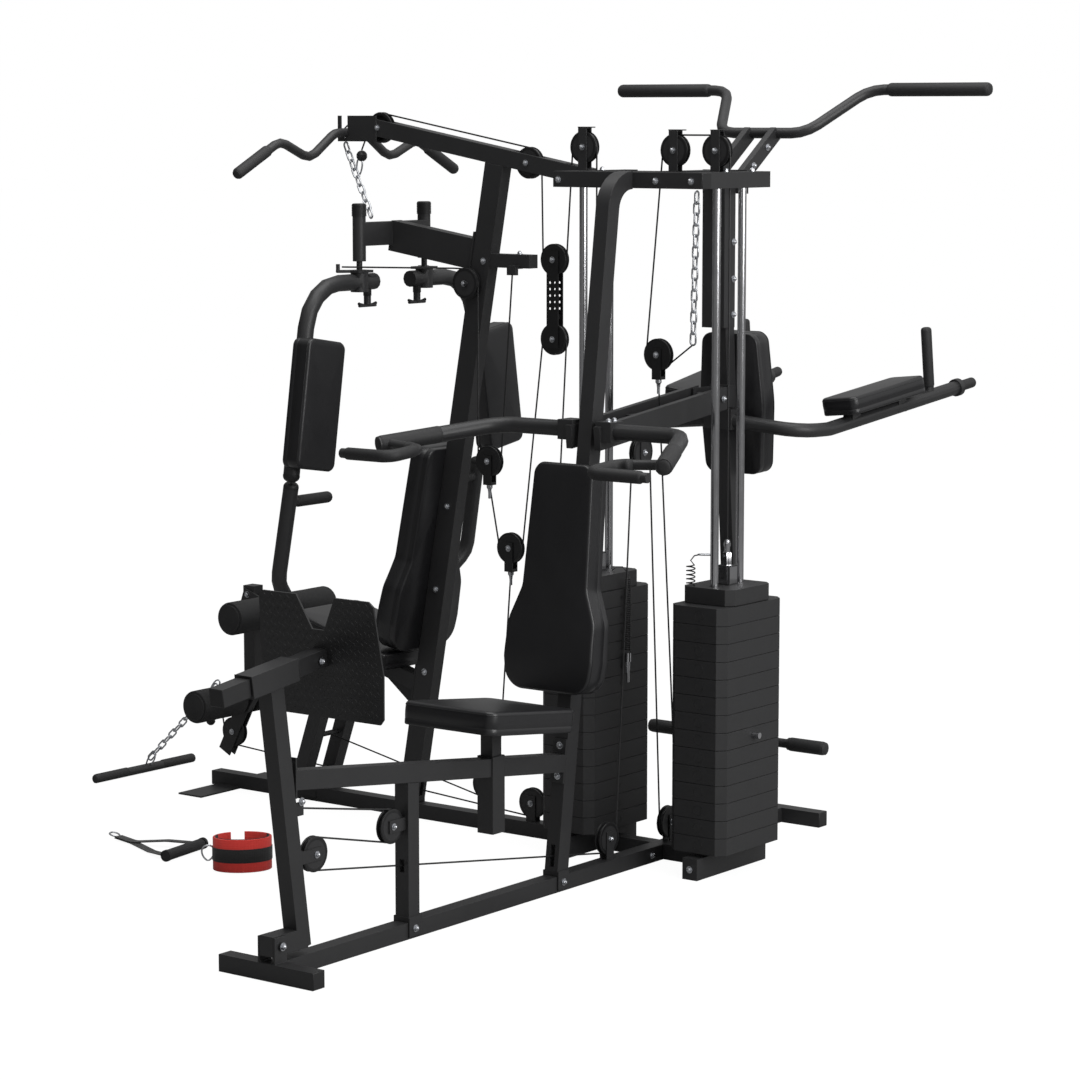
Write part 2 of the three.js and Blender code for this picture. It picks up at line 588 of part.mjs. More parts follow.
function butterflyArm(side) {
  const pivot = v(side * 154, 1010, 0);
  const hub = rod(v(pivot.x, pivot.y, 1624), v(pivot.x, pivot.y, 1690), 27, 16);
  const bore = rod(v(pivot.x, pivot.y, 1600), v(pivot.x, pivot.y, 1740), 10, 16);
  const arm = bentRod([v(side * 84, 1011, 1654), v(side * 378, 1011, 1654), v(side * 470, 1011, 1094)], 25, 150);
  const cam = plate([[-34, -26], [34, -26], [34, 26], [-34, 26]], 8, v(pivot.x, pivot.y, 1682), X, Y);
  const camArm = bar(v(pivot.x, pivot.y, 1686), v(side * 206, 1056, 1686), 32, 8, v(-side * 0.66, 0.75, 0));
  const camPin = rod(v(side * 203, 1053, 1684), v(side * 203, 1053, 1708), 6);
  const pinHousing = rod(v(side * 118, 1010, 1585), v(side * 118, 1010, 1640), 11);
  const handle = rod(v(side * 118 - 38, 1010, 1582), v(side * 118 + 38, 1010, 1582), 5);
  return cut(join(hub, arm, cam, camArm, camPin, pinHousing, handle), bore);
}

function butterflyPad(side) {
  const up = v(-side * 0.155, 0, 1).normalize();
  const across = v(1, 0, side * 0.155).normalize();
  const outline = seatOutline(84, 384, 26).map(([x, y]) => [y, x]).reverse();
  return plate(outline, 68, v(side * 432, 985, 1306), across, up);
}

function sidePressArm() {
  const limb = (side) => {
    const leg = bar(v(side * 70, 1340, 60), v(side * 70, 1222, 402), TUBE, TUBE, X);
    const tube = bentRod([v(side * 70, 1236, 380), v(side * 104, 1206, 440), v(side * 452, 1084, 769),
      v(side * 446, 1034, 1058)], 23, 70);
    const grip = rod(v(side * 446, 1042, 1012), v(side * 266, 1042, 1012), 15);
    return join(leg, tube, grip);
  };
  const crossRod = rod(v(-70, 1286, 219), v(70, 1286, 219), 8);
  const axle = rod(v(-70, 1340, 75), v(70, 1340, 75), 10, 16);
  return join(limb(-1), limb(1), crossRod, axle);
}

// ---- moving arms ---------------------------------------------------------------------
function pressArm() {
  const railZ = (x) => 1330 + 0.112 * (x - 215);
  const rails = [-1, 1].map((side) => bar(v(-392, side * 49, railZ(-392)), v(238, side * 49, railZ(238)),
    20, 66, Y));
  const pin = rod(v(215, -62, 1332), v(215, 62, 1332), 9, 16);
  const sleeve = rod(v(215, -29, 1332), v(215, 29, 1332), 16);
  const rearPlate = block([-304, -290], [-45, 45], [1252, 1292]);
  const pulleyBlock = block([-134, -90], [-45, 45], [1262, 1306]);
  const pulleyCheeks = cheeks(v(-112, 0, 1176), v(-112, 0, 1270), 32, Y);
  const sockets = [-1, 1].map((side) => block([-386, -326], side > 0 ? [40, 92] : [-92, -40], [1253, 1309]));
  const handles = [-1, 1].map((side) => bentRod([v(-696, side * 487, 1238), v(-356, side * 313, 1281),
    v(-356, side * 60, 1281)], 23, 90));
  const grips = [-1, 1].map((side) => bentRod([v(-672, side * 475, 1241), v(-690, side * 337, 1234),
    v(-826, side * 337, 1224), v(-812, side * 520, 1222)], 14, 28));
  return join(...rails, rearPlate, pulleyBlock, ...pulleyCheeks, ...sockets, ...handles, ...grips, pin, sleeve,
    boltedWheel(wheels.pressArm, Y));
}

function legPressLever() {
  const boot = block([-1724, -1590], [-HALF, HALF], [62, 114]);
  const tube = bar(v(leverX(64), 0, 64), v(leverX(760), 0, 760), TUBE, 48, Y);
  const sleeve = bar(v(-1792, 0, footBeamZ(-1792)), v(-1622, 0, footBeamZ(-1622)), 57, 57, Y);
  const bore = bar(v(-1850, 0, footBeamZ(-1850)), v(-1560, 0, footBeamZ(-1560)), 46, 46, Y);
  const eye = block([leverX(418) + 15, -1582], [-4, 4], [400, 434]);
  const spine = block([leverX(292) + 18, -1598], [-13, 13], [272, 312]);
  const holder = cheeks(v(-1606, 0, 292), v(-1522, 0, 292), 34, Y);
  const pin = rod(v(-1700, -34, 88), v(-1700, 34, 88), 8, 16);
  return join(cut(join(tube, sleeve), bore), boot, pin, eye, spine, ...holder, boltedWheel(wheels.lever, Y));
}

function footPlate() {
  const lean = v(-BEAM_SLOPE, 0, 1).normalize();
  const beam = bar(v(-1892, 0, footBeamZ(-1892)), v(-1500, 0, footBeamZ(-1500)), TUBE, TUBE, Y);
  const half = [[20, 72], [64, 160], [176, 160], [190, 148], [203, -30], [190, -146], [178, -160]];
  const outline = [...half, ...half.map(([y, z]) => [-y, z]).reverse()].reverse();
  const tread = plate(outline, 5, v(-1502, 0, 794), Y.clone().negate(), lean);
  return join(beam, tread);
}

function legDeveloper() {
  const tube = block([-HALF + GAP, HALF - GAP], [1573, 1617], [318, 664]);
  const knee = cheeks(v(0, 1590, 352), v(0, 1716, 112), 50, X, WHEEL_HALF + 0.8, 4);
  const filler = bar(v(0, 1580, 350), v(0, 1640, 262), 26, 50, X);
  const rollerBar = rod(v(-225, 1643, 295), v(225, 1643, 295), 12.5);
  const pin = rod(v(-32, 1595, 637), v(32, 1595, 637), 8, 16);
  return join(tube, ...knee, filler, rollerBar, pin, boltedWheel(wheels.lowRow, X));
}

function foamRoller(side, y, z) {
  const profile = [[13.2, -100], [48, -100], [52, -94], [52, 94], [48, 100], [13.2, 100], [13.2, -100]];
  return turned(profile, v(side * 129, y, z), X, 16);
}

function latBar() {
  const wave = [v(-515, 1175, 1978), v(-320, 1175, 2075), v(-188, 1175, 2020), v(-70, 1175, 2098),
    v(70, 1175, 2098), v(188, 1175, 2020), v(320, 1175, 2075), v(515, 1175, 1978)];
  return bentRod(wave, 14, 60);
}

// ---- weight stacks --------------------------------------------------------------------
function chamferedPlan(halfX, halfY, chamfer) {
  return [[halfX - chamfer, halfY], [-halfX + chamfer, halfY], [-halfX, halfY - chamfer],
    [-halfX, -halfY + chamfer], [-halfX + chamfer, -halfY], [halfX - chamfer, -halfY],
    [halfX, -halfY + chamfer], [halfX, halfY - chamfer]];
}

function weightPlates(side, first, count) {
  const y = side * STACK_Y;
  const bottom = STACK_Z + first * PLATE_PITCH;
  const slabs = [];
  for (let i = 0; i < count; i += 1) {
    slabs.push(plate(chamferedPlan(156.5, 94, 24), PLATE_PITCH - 1.6, v(STACK_X, y, bottom + i * PLATE_PITCH),
      X, Y));
  }
  const height = count * PLATE_PITCH - 1.6;
  const core = plate(chamferedPlan(153.5, 91, 23), height - 1, v(STACK_X, y, bottom + 0.5), X, Y);
  return join(core, ...slabs);
}

function rodHoles(side, stem) {
  const y = side * STACK_Y;
  const holes = [-1, 1].map((end) => {
    const x = STACK_X + (end * ROD_SPACING) / 2;
    return rod(v(x, y, 0), v(x, y, 1200), ROD_R + 1.5, 16);
  });
  return stem ? [...holes, rod(v(STACK_X, y, 0), v(STACK_X, y, 1200), 13.5, 16)] : holes;
}

function guideRods(side) {
  const y = side * STACK_Y;
  const rods = [-1, 1].map((end) => {
    const x = STACK_X + (end * ROD_SPACING) / 2;
    return rod(v(x, y, STACK_Z - 1), v(x, y, TOP_Z - TUBE - GAP), ROD_R, 16);
  });
  const seat = block([STACK_X - 80, STACK_X + 80], [y - 17, y + 17], [62.3, STACK_Z - 0.4]);
  return join(seat, ...rods);
}

function topPlateAndStem(side, stemFoot) {
  const y = side * STACK_Y;
  const bottom = STACK_Z + PLATES * PLATE_PITCH;
  const head = plate(chamferedPlan(107, 87, 22), 46, v(STACK_X, y, bottom), X, Y);
  const socket = block([STACK_X - 22, STACK_X + 22], [y - 22, y + 22], [bottom + 44, bottom + 101]);
  const collar = rod(v(STACK_X, y, bottom + 99), v(STACK_X, y, bottom + 137), 13);
  const neck = rod(v(STACK_X, y, bottom + 135), v(STACK_X, y, bottom + STEM_TALL), 7);
  const stem = rod(v(STACK_X, y, stemFoot), v(STACK_X, y, bottom + 1), 12);
  return cut(join(head, socket, collar, neck, stem), ...rodHoles(side, false));
}

const pinZ = STACK_Z + (PLATES - PLATES_ON_PIN + 0.5) * PLATE_PITCH;

function rightLifted() {
  const plates = cut(weightPlates(-1, PLATES - PLATES_ON_PIN, PLATES_ON_PIN), ...rodHoles(-1, false));
  const whole = join(plates, topPlateAndStem(-1, 90));
  return cut(whole, rod(v(STACK_X, -STACK_Y - 130, pinZ), v(STACK_X, -STACK_Y + 20, pinZ), 6));
}

function rightResting() {
  return cut(weightPlates(-1, 0, PLATES - PLATES_ON_PIN), ...rodHoles(-1, true));
}

function leftResting() {
  return cut(weightPlates(1, 0, PLATES), ...rodHoles(1, true));
}

function selectorPin(x, tipY, headY, z) {
  return join(rod(v(x, tipY, z), v(x, headY - 4, z), 4.6), rod(v(x, headY - 18, z), v(x, headY + 3, z), 9));
}

// ---- cables ---------------------------------------------------------------------------
const stemTop = STACK_Z + PLATES * PLATE_PITCH + STEM_TALL + GAP;
const over = (wheel) => ({ wheel, turn: 1 }); // anticlockwise as the cable travels
const under = (wheel) => ({ wheel, turn: -1 });

function rightStackCable() {
  return cable(cableStations(v(STACK_X, -106, 1502), [over(wheels.hangingRight), over(wheels.topMiddle),
    over(wheels.topRight)], v(STACK_X, -STACK_Y, stemTop), 'y'));
}

function latCable() {
  return cable(cableStations(v(CABLE_X, 1128, 2046), [over(wheels.boomTip), over(wheels.boomRear),
    under(wheels.blockTop), over(wheels.topLeft)], v(STACK_X, STACK_Y, stemTop), 'y'));
}

function pressCable() {
  const start = v(STACK_X, 10, wheels.hangingRight.z - 72);
  const eye = v(-1581, 0, 417);
  return cable(cableStations(start, [under(wheels.baseRear), over(wheels.pressArm), under(wheels.basePress),
    under(wheels.lever), over(wheels.post)], eye, 'x'));
}

function lowRowCable() {
  const start = v(-36, 607, wheels.hangingHigh.z - 72);
  return cable(cableStations(start, [under(wheels.hangingLow), over(wheels.blockLow), over(wheels.baseSide),
    over(wheels.lowRow)], v(CABLE_X, 1750, 312), 'y'));
}

/** Round the hanging and the upright's pulley, then past the left post to the lever on its arm. */
function butterflyCable() {
  const stations = cableStations(v(-36, 521, 1683.5), [over(wheels.hangingHigh), under(wheels.sideUpright)],
    v(-36, 740, 1698), 'y');
  stations.pop();
  return cable([...stations, v(-37, 744, 1698.2), v(-196.5, 1043, 1699.5)]);
}

function legExtensionCable() {
  const start = v(CABLE_X, 555, wheels.hangingLow.z - 72);
  return cable(cableStations(start, [over(wheels.baseBend)], v(CABLE_X, 1276, 219), 'y'));
}

/** A wheel that hangs in the cables, in its own strap with a clevis below. */
function hangingPulley(centre) {
  const straps = cheeks(v(centre.x, centre.y, centre.z + 18), v(centre.x, centre.y, centre.z - 66), 30, X);
  const foot = block([centre.x - 13, centre.x + 13], [centre.y - 15, centre.y + 15],
    [centre.z - 71, centre.z - 62]);
  return join(...straps, foot, boltedWheel(centre, X));
}

/** Two wheels one above the other in a long flat pair of plates. */
function doublePulleyBlock() {
  const straps = cheeks(v(CABLE_X, 391, wheels.blockTop.z + 26), v(CABLE_X, 391, wheels.blockLow.z - 26), 42, X);
  const spacer = block([CABLE_X - 13, CABLE_X + 13], [377, 405], [1558, 1572]);
  const holes = [-9, 9].flatMap((y) => [1589, 1608, 1627, 1646, 1665].map((z) => rod(
    v(CABLE_X - 30, 391 + y, z), v(CABLE_X + 30, 391 + y, z), 4.2, 8)));
  return join(...straps.map((strap) => cut(strap, ...holes)), spacer, boltedWheel(wheels.blockTop, X), boltedWheel(wheels.blockLow, X));
}

function boomTipPulley() {
  return cut(pulleyWheel(wheels.boomTip, X), rod(v(-30, 1047, 2114), v(30, 1047, 2114), 6.6, 16));
}

// ---- loose pieces on the floor --------------------------------------------------------
function strapHandle() {
  const tail = bar(v(-800, 1414, 7), v(-816, 1340, 7), 28, 6, v(0.977, -0.211, 0));
  const legs = [bar(v(-816, 1346, 6.6), v(-744, 1142, 14), 26, 5, v(0.943, 0.333, 0)),
    bar(v(-816, 1346, 6.6), v(-908, 1118, 14), 26, 5, v(0.927, -0.374, 0))];
  const grip = rod(v(-739, 1139, 16.5), v(-916, 1112, 16.5), 16, 12);
  const loop = cut(rod(v(-797, 1428, 4.5), v(-797, 1428, 9.5), 18, 16), rod(v(-797, 1428, 0), v(-797, 1428, 20), 12.5, 16));
  return join(tail, ...legs, grip, loop);
}

function ankleStrap() {
  const outer = [];
  const inner = [];
  for (let i = 0; i <= 16; i += 1) {
    const angle = Math.PI * (0.62 + (1.84 * i) / 16);
    outer.push([86 * Math.cos(angle), 61 * Math.sin(angle)]);
    inner.unshift([78 * Math.cos(angle), 53 * Math.sin(angle)]);
  }
  return plate([...outer, ...inner], 98, v(-855, 872, 1), v(0.72, -0.694, 0), v(0.694, 0.72, 0));
}

// ---- assembly ---------------------------------------------------------------------------
const group = new THREE.Group();
group.name = 'multi_station_home_gym';

function add(name, manifold, material) {
  const mesh = new THREE.Mesh(geometryOf(manifold), material);
  mesh.name = name;
  group.add(mesh);
}

add('front_base', frontBase(), powderCoat);
add('side_base', sideBase(), powderCoat);
add('rear_base', rearBase(), powderCoat);
add('right_stack_base', stackBase(-1), powderCoat);
add('left_stack_base', stackBase(1), powderCoat);
add('front_upright', frontUpright(), powderCoat);
add('front_post', frontPost(), powderCoat);
add('front_seat_beam', frontSeatBeam(), powderCoat);
add('side_upright', sideUpright(), powderCoat);
add('side_seat_beam', sideSeatBeam(), powderCoat);
add('rear_upright', rearUpright(), powderCoat);
add('top_frame', topFrame(), powderCoat);
add('boom', boom(), powderCoat);
add('butterfly_frame', butterflyFrame(), powderCoat);
add('pull_up_bar', pullUpBar(), powderCoat);
add('dip_arms', dipArms(), powderCoat);
add('right_guide_rods', guideRods(-1), chrome);
add('left_guide_rods', guideRods(1), chrome);
add('right_stack_resting', rightResting(), plateCoat);
add('right_stack_lifted', rightLifted(), plateCoat);
add('right_selector_pin', selectorPin(STACK_X, -STACK_Y + 16, -STACK_Y - 98, pinZ), chrome);
add('left_stack_resting', leftResting(), plateCoat);
add('left_stack_lifted', topPlateAndStem(1, 90), plateCoat);
add('left_selector_pin', join(rod(v(4, 125, 505), v(4, 125, 582), 4.6), rod(v(4, 125, 566), v(4, 125, 592), 9)),
  chrome);
add('front_seat_post', frontSeatPost(), powderCoat);
add('front_seat_pad', frontSeatPad(), vinyl);
add('front_back_pad', frontBackPad(), vinyl);
add('side_seat_pad', sideSeatPad(), vinyl);
add('side_back_pad', sideBackPad(), vinyl);
add('rear_back_pad', rearBackPad(), vinyl);
add('right_arm_pad', armPad(-1), vinyl);
add('left_arm_pad', armPad(1), vinyl);
add('butterfly_arm_left', butterflyArm(-1), powderCoat);
add('butterfly_arm_right', butterflyArm(1), powderCoat);
add('butterfly_pad_left', butterflyPad(-1), vinyl);
add('butterfly_pad_right', butterflyPad(1), vinyl);
add('side_press_arm', sidePressArm(), powderCoat);
add('press_arm', pressArm(), powderCoat);
add('leg_press_lever', legPressLever(), powderCoat);
add('foot_plate', footPlate(), treadPlate);
add('leg_developer', legDeveloper(), powderCoat);
add('upper_roller_left', foamRoller(-1, 1488, 592), foam);
add('upper_roller_right', foamRoller(1, 1488, 592), foam);
add('lower_roller_left', foamRoller(-1, 1643, 295), foam);
add('lower_roller_right', foamRoller(1, 1643, 295), foam);
add('lat_bar', latBar(), powderCoat);
add('low_row_bar', rod(v(-247, 2070, 14.2), v(204, 2061, 14.2), 14), powderCoat);
add('right_stack_cable', rightStackCable(), cableCoat);
add('press_cable', pressCable(), cableCoat);
add('lat_cable', latCable(), cableCoat);
add('low_row_cable', lowRowCable(), cableCoat);
add('butterfly_cable', butterflyCable(), cableCoat);
add('leg_extension_cable', legExtensionCable(), cableCoat);
add('strap_handle', strapHandle(), webbing);
add('ankle_strap', ankleStrap(), redNeoprene);
add('double_pulley_block', doublePulleyBlock(), nylon);
add('hanging_pulley_right', hangingPulley(wheels.hangingRight), nylon);
add('hanging_pulley_high', hangingPulley(wheels.hangingHigh), nylon);
add('hanging_pulley_low', hangingPulley(wheels.hangingLow), nylon);
add('boom_tip_pulley', boomTipPulley(), nylon);

// The origin goes to the middle of the footprint, on the floor.
const extent = new THREE.Box3().setFromObject(group);
const centre = extent.getCenter(new THREE.Vector3());
group.children.forEach((mesh) => mesh.geometry.translate(-centre.x, -centre.y, -extent.min.z));

export default group;
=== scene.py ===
"""Blender model of a multi station home gym.

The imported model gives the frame, the arms, the stacks and the cables. This file dresses those
nodes in their finishes and adds what they leave out: upholstery, foam sleeves, grips, pulley
wheels, bolts, chains and small fittings. Sizes are in millimetres in the machine's own plan,
whose origin is where the two base rails cross on the floor, and Plan.at turns them into metres
in the model's frame.
"""

from __future__ import annotations

import json
import logging
import math
from dataclasses import dataclass, field
from enum import Enum
from typing import Any, Iterable, Sequence

import bmesh
import bpy
from mathutils import Matrix, Vector

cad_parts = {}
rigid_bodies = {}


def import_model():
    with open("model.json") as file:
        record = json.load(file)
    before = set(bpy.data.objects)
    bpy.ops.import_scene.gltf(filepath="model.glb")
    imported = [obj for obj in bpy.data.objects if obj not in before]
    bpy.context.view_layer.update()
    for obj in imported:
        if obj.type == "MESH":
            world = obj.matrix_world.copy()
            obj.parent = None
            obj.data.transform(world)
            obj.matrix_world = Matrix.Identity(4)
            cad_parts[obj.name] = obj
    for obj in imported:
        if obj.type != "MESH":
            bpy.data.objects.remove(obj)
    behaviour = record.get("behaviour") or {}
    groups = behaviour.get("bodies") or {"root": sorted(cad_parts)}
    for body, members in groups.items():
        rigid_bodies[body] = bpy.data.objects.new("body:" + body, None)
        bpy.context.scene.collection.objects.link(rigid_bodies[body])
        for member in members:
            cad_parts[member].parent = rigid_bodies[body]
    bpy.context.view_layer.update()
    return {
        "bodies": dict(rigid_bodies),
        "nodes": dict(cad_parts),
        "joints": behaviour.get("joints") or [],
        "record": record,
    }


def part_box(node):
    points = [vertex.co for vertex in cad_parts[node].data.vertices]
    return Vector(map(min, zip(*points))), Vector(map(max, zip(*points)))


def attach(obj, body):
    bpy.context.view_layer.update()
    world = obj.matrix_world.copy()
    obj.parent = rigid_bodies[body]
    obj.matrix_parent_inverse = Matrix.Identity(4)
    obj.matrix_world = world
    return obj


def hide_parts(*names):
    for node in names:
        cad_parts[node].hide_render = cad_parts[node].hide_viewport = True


LOG = logging.getLogger("home_gym")
Point = tuple[float, float, float]
Profile = Sequence[tuple[float, float]]
RAIL_LOW_X = 0.206  # the side base's low X to the rails' crossing, in metres
RAIL_HIGH_Y = 1.764  # the crossing to the side base's high Y, in metres
STACK_Z = 73.5  # millimetres from here on: underside of the lowest plate
PLATE_PITCH = 50.6
STACK_TOP = 827.9
STACK_Y = 231  # middle of each stack, either side of the crossing
STRAP_STEPS = 48


class Axis(Enum):
    """Directions along which wheels, bolts and rods are set."""

    X = (1.0, 0.0, 0.0)
    Y = (0.0, 1.0, 0.0)
    Z = (0.0, 0.0, 1.0)

    @property
    def vector(self) -> Vector:
        """The unit vector of the direction."""
        return Vector(self.value)


@dataclass(frozen=True)
class Plan:
    """The machine's own plan and where it sits in the model's frame."""

    shift: Vector

    @classmethod
    def from_frame(cls) -> "Plan":
        """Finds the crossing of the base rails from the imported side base.

        Returns:
            The plan, placed in the model's frame.
        """
        low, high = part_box("side_base")
        return cls(Vector((low.x + RAIL_LOW_X, high.y - RAIL_HIGH_Y, 0.0)))

    def at(self, x: float, y: float, z: float) -> Vector:
        """Turns a plan position into the model's frame.

        Args:
            x: Millimetres along the front and rear base.
            y: Millimetres along the side base.
            z: Height above the floor in millimetres.

        Returns:
            The position in metres.
        """
        return self.shift + Vector((x, y, z)) * 0.001


# ---- finishes ------------------------------------------------------------------------------


def linear(hex_colour: str) -> tuple[float, float, float, float]:
    """Turns an sRGB hex colour into linear light.

    Args:
        hex_colour: Six hex digits with a leading #.

    Returns:
        Linear red, green, blue and an alpha of 1.
    """
    channels = [int(hex_colour[i : i + 2], 16) / 255 for i in (1, 3, 5)]
    light = [c / 12.92 if c <= 0.04045 else ((c + 0.055) / 1.055) ** 2.4 for c in channels]
    return (light[0], light[1], light[2], 1.0)


def add_node(
    tree: bpy.types.NodeTree, kind: str, settings: dict[str, Any], inputs: dict[Any, Any]
) -> bpy.types.Node:
    """Adds one node with its settings, and sets or links its inputs.

    Args:
        tree: The node tree it goes into.
        kind: Blender's name for the node type.
        settings: Attribute values.
        inputs: Input values by name or number; an output socket is linked.

    Returns:
        The new node.
    """
    node = tree.nodes.new(kind)
    for name, value in settings.items():
        setattr(node, name, value)
    for name, value in inputs.items():
        if isinstance(value, bpy.types.NodeSocket):
            tree.links.new(value, node.inputs[name])
        else:
            node.inputs[name].default_value = value
    return node


@dataclass(frozen=True)
class Finish:
    """One real surface finish; subclasses add its pattern."""

    name: str
    slot: str
    colour: str
    shade: str
    roughness: float
    metallic: float = 0.0
    grain_mm: float = 2.0
    relief: float = 0.1
    mottle_mm: float = 60.0
    round_mm: float = 0.0

    def build(self) -> bpy.types.Material:
        """Makes the material.

        Returns:
            The finished node material.
        """
        material = bpy.data.materials.new(self.name)
        material.use_nodes = True
        tree = material.node_tree
        shader = tree.nodes["Principled BSDF"]
        shader.inputs["Metallic"].default_value = self.metallic
        place = add_node(tree, "ShaderNodeTexCoord", {}, {}).outputs["Object"]
        mottle = add_node(
            tree,
            "ShaderNodeTexNoise",
            {},
            {"Vector": place, "Scale": 1000 / self.mottle_mm, "Detail": 3.0, "Roughness": 0.6},
        )
        tint = add_node(
            tree,
            "ShaderNodeMix",
            {"data_type": "RGBA"},
            {0: mottle.outputs["Fac"], 6: linear(self.colour), 7: linear(self.shade)},
        )
        gloss = add_node(
            tree,
            "ShaderNodeMapRange",
            {},
            {0: mottle.outputs["Fac"], 3: self.roughness - 0.04, 4: self.roughness + 0.05},
        )
        tree.links.new(tint.outputs[2], shader.inputs["Base Color"])
        tree.links.new(gloss.outputs[0], shader.inputs["Roughness"])
        height = self.grain(tree, place)
        bump = add_node(
            tree, "ShaderNodeBump", {},
                {"Height": height, "Strength": self.relief, "Distance": 0.0006}
        )
        if self.round_mm:
            edge = add_node(
                tree, "ShaderNodeBevel", {"samples": 3}, {"Radius": self.round_mm * 0.001}
            )
            tree.links.new(edge.outputs[0], bump.inputs["Normal"])
        tree.links.new(bump.outputs[0], shader.inputs["Normal"])
        self.dress(tree, shader, place)
        return material

    def grain(self, tree: bpy.types.NodeTree, place: bpy.types.NodeSocket) -> bpy.types.NodeSocket:
        """Makes the fine relief of the surface.

        Args:
            tree: The material's node tree.
            place: Object coordinates in metres.

        Returns:
            The socket that carries the height.
        """
        noise = add_node(
            tree,
            "ShaderNodeTexNoise",
            {},
            {"Vector": place, "Scale": 1000 / self.grain_mm, "Detail": 2.0},
        )
        return noise.outputs["Fac"]

    def dress(
        self, tree: bpy.types.NodeTree, shader: bpy.types.Node, place: bpy.types.NodeSocket
    ) -> None:
        """Adds what is special to one finish; a plain finish adds nothing."""


@dataclass(frozen=True)
class Upholstery(Finish):
    """Coated fabric over foam: cell-like leather grain with a soft sheen."""

    def grain(self, tree: bpy.types.NodeTree, place: bpy.types.NodeSocket) -> bpy.types.NodeSocket:
        """Makes the pebbled grain; see Finish.grain."""
        cells = add_node(
            tree,
            "ShaderNodeTexVoronoi",
            {"feature": "SMOOTH_F1"},
            {"Vector": place, "Scale": 1000 / self.grain_mm},
        )
        return cells.outputs["Distance"]

    def dress(
        self, tree: bpy.types.NodeTree, shader: bpy.types.Node, place: bpy.types.NodeSocket
    ) -> None:
        """Sets the thin top coat of the vinyl; see Finish.dress."""
        shader.inputs["Coat Weight"].default_value = 0.18
        shader.inputs["Coat Roughness"].default_value = 0.3
        shader.inputs["IOR"].default_value = 1.5


@dataclass(frozen=True)
class Woven(Finish):
    """Cloth with crossing threads, such as webbing or a knitted neoprene face."""

    thread_mm: float = 3.0

    def grain(self, tree: bpy.types.NodeTree, place: bpy.types.NodeSocket) -> bpy.types.NodeSocket:
        """Makes crossing ridges one thread apart; see Finish.grain."""
        scale = 1000 / self.thread_mm / 6.283
        bands = [
            add_node(
                tree,
                "ShaderNodeTexWave",
                {"bands_direction": direction},
                {"Vector": place, "Scale": scale, "Distortion": 0.4},
            ).outputs["Fac"]
            for direction in ("X", "Z")
        ]
        both = add_node(tree, "ShaderNodeMath", {"operation": "ADD"}, {0: bands[0], 1: bands[1]})
        return both.outputs[0]

    def dress(
        self, tree: bpy.types.NodeTree, shader: bpy.types.Node, place: bpy.types.NodeSocket
    ) -> None:
        """Adds the nap of the fibres; see Finish.dress."""
        shader.inputs["Sheen Weight"].default_value = 0.25
        shader.inputs["Sheen Roughness"].default_value = 0.5


@dataclass(frozen=True)
class Brushed(Finish):
    """Bright metal drawn along its length, with fine lines up the rod."""

    def grain(self, tree: bpy.types.NodeTree, place: bpy.types.NodeSocket) -> bpy.types.NodeSocket:
        """Stretches the grain along Z; see Finish.grain."""
        stretch = add_node(
            tree, "ShaderNodeMapping", {}, {"Vector": place, "Scale": (1.0, 1.0, 0.02)}
        )
        noise = add_node(
            tree,
            "ShaderNodeTexNoise",
            {},
            {"Vector": stretch.outputs[0], "Scale": 1000 / self.grain_mm, "Detail": 1.0},
        )
        return noise.outputs["Fac"]


# Polyester powder coat, sprayed and baked: a satin charcoal skin with faint orange peel. The
# peel is drawn 2.4 mm across, coarser than real, so that it shows. Corners of the rolled tube
# are rounded by 2.5 mm.
POWDER_COAT = Finish(
    "powder_coated_steel", "powder_coat", "#29292a", "#2f2f30", 0.44, 0.0, 2.4, 0.10, 90.0, 2.5
)
# The same coat on pressed diamond-tread sheet, a little glossier on the raised marks.
TREAD_STEEL = Finish("coated_tread_sheet", "tread_plate", "#232324", "#2a2a2b", 0.40, 0.0, 3.0,
    0.12)
# Weight plates: cast, then dip painted, so matt with a pitted skin.
PLATE_PAINT = Finish("painted_cast_plate", "cast_plate", "#262627", "#2d2d2e", 0.52, 0.0, 3.2, 0.22,
    45.0, 1.6)
# Upholstery vinyl over foam and board: near black, soft highlights, 2.6 mm pebble grain.
VINYL = Upholstery("upholstery_vinyl", "vinyl_pad", "#18181a", "#1d1d1f", 0.36, 0.0, 2.6, 0.16,
    70.0)
# Closed-cell foam rolls: dull black with an open skin.
FOAM = Finish("closed_cell_foam", "foam_sleeve", "#1c1c1d", "#232324", 0.74, 0.0, 3.4, 0.3, 30.0)
# Slip-on hand grips of moulded rubber, dull and faintly pebbled.
GRIP_RUBBER = Finish("moulded_grip_rubber", "powder_coat", "#222223", "#29292a", 0.62, 0.0, 2.2,
    0.28, 25.0)
# Hard chrome on ground bar: mirror-like with fine lengthwise lines.
CHROME = Brushed("hard_chromed_bar", "chromed_steel", "#c9c9cc", "#dadadc", 0.14, 1.0, 5.0, 0.05)
# Bright zinc plate on nuts, washers and chain: whiter and duller than chrome.
ZINC = Finish("bright_zinc_plate", "chromed_steel", "#c2c4c8", "#d6d8dc", 0.26, 1.0, 2.0, 0.05,
    12.0)
# Glass-filled nylon pulleys: moulded black with a soft gloss.
NYLON = Finish("moulded_nylon", "nylon", "#161617", "#1c1c1d", 0.34, 0.0, 4.0, 0.06, 40.0)
# Nylon jacket over the wire rope; its lay shows as a faint ripple.
JACKET = Finish("nylon_cable_jacket", "coated_cable", "#1b1b1c", "#222223", 0.35, 0.0, 5.0, 0.15,
    30.0)
# Polyester webbing: flat black, 3 mm ribs drawn a little coarse so they show.
WEBBING = Woven("polyester_webbing", "webbing", "#121213", "#191919", 0.82, 0.0, 3.0, 0.35, 20.0)
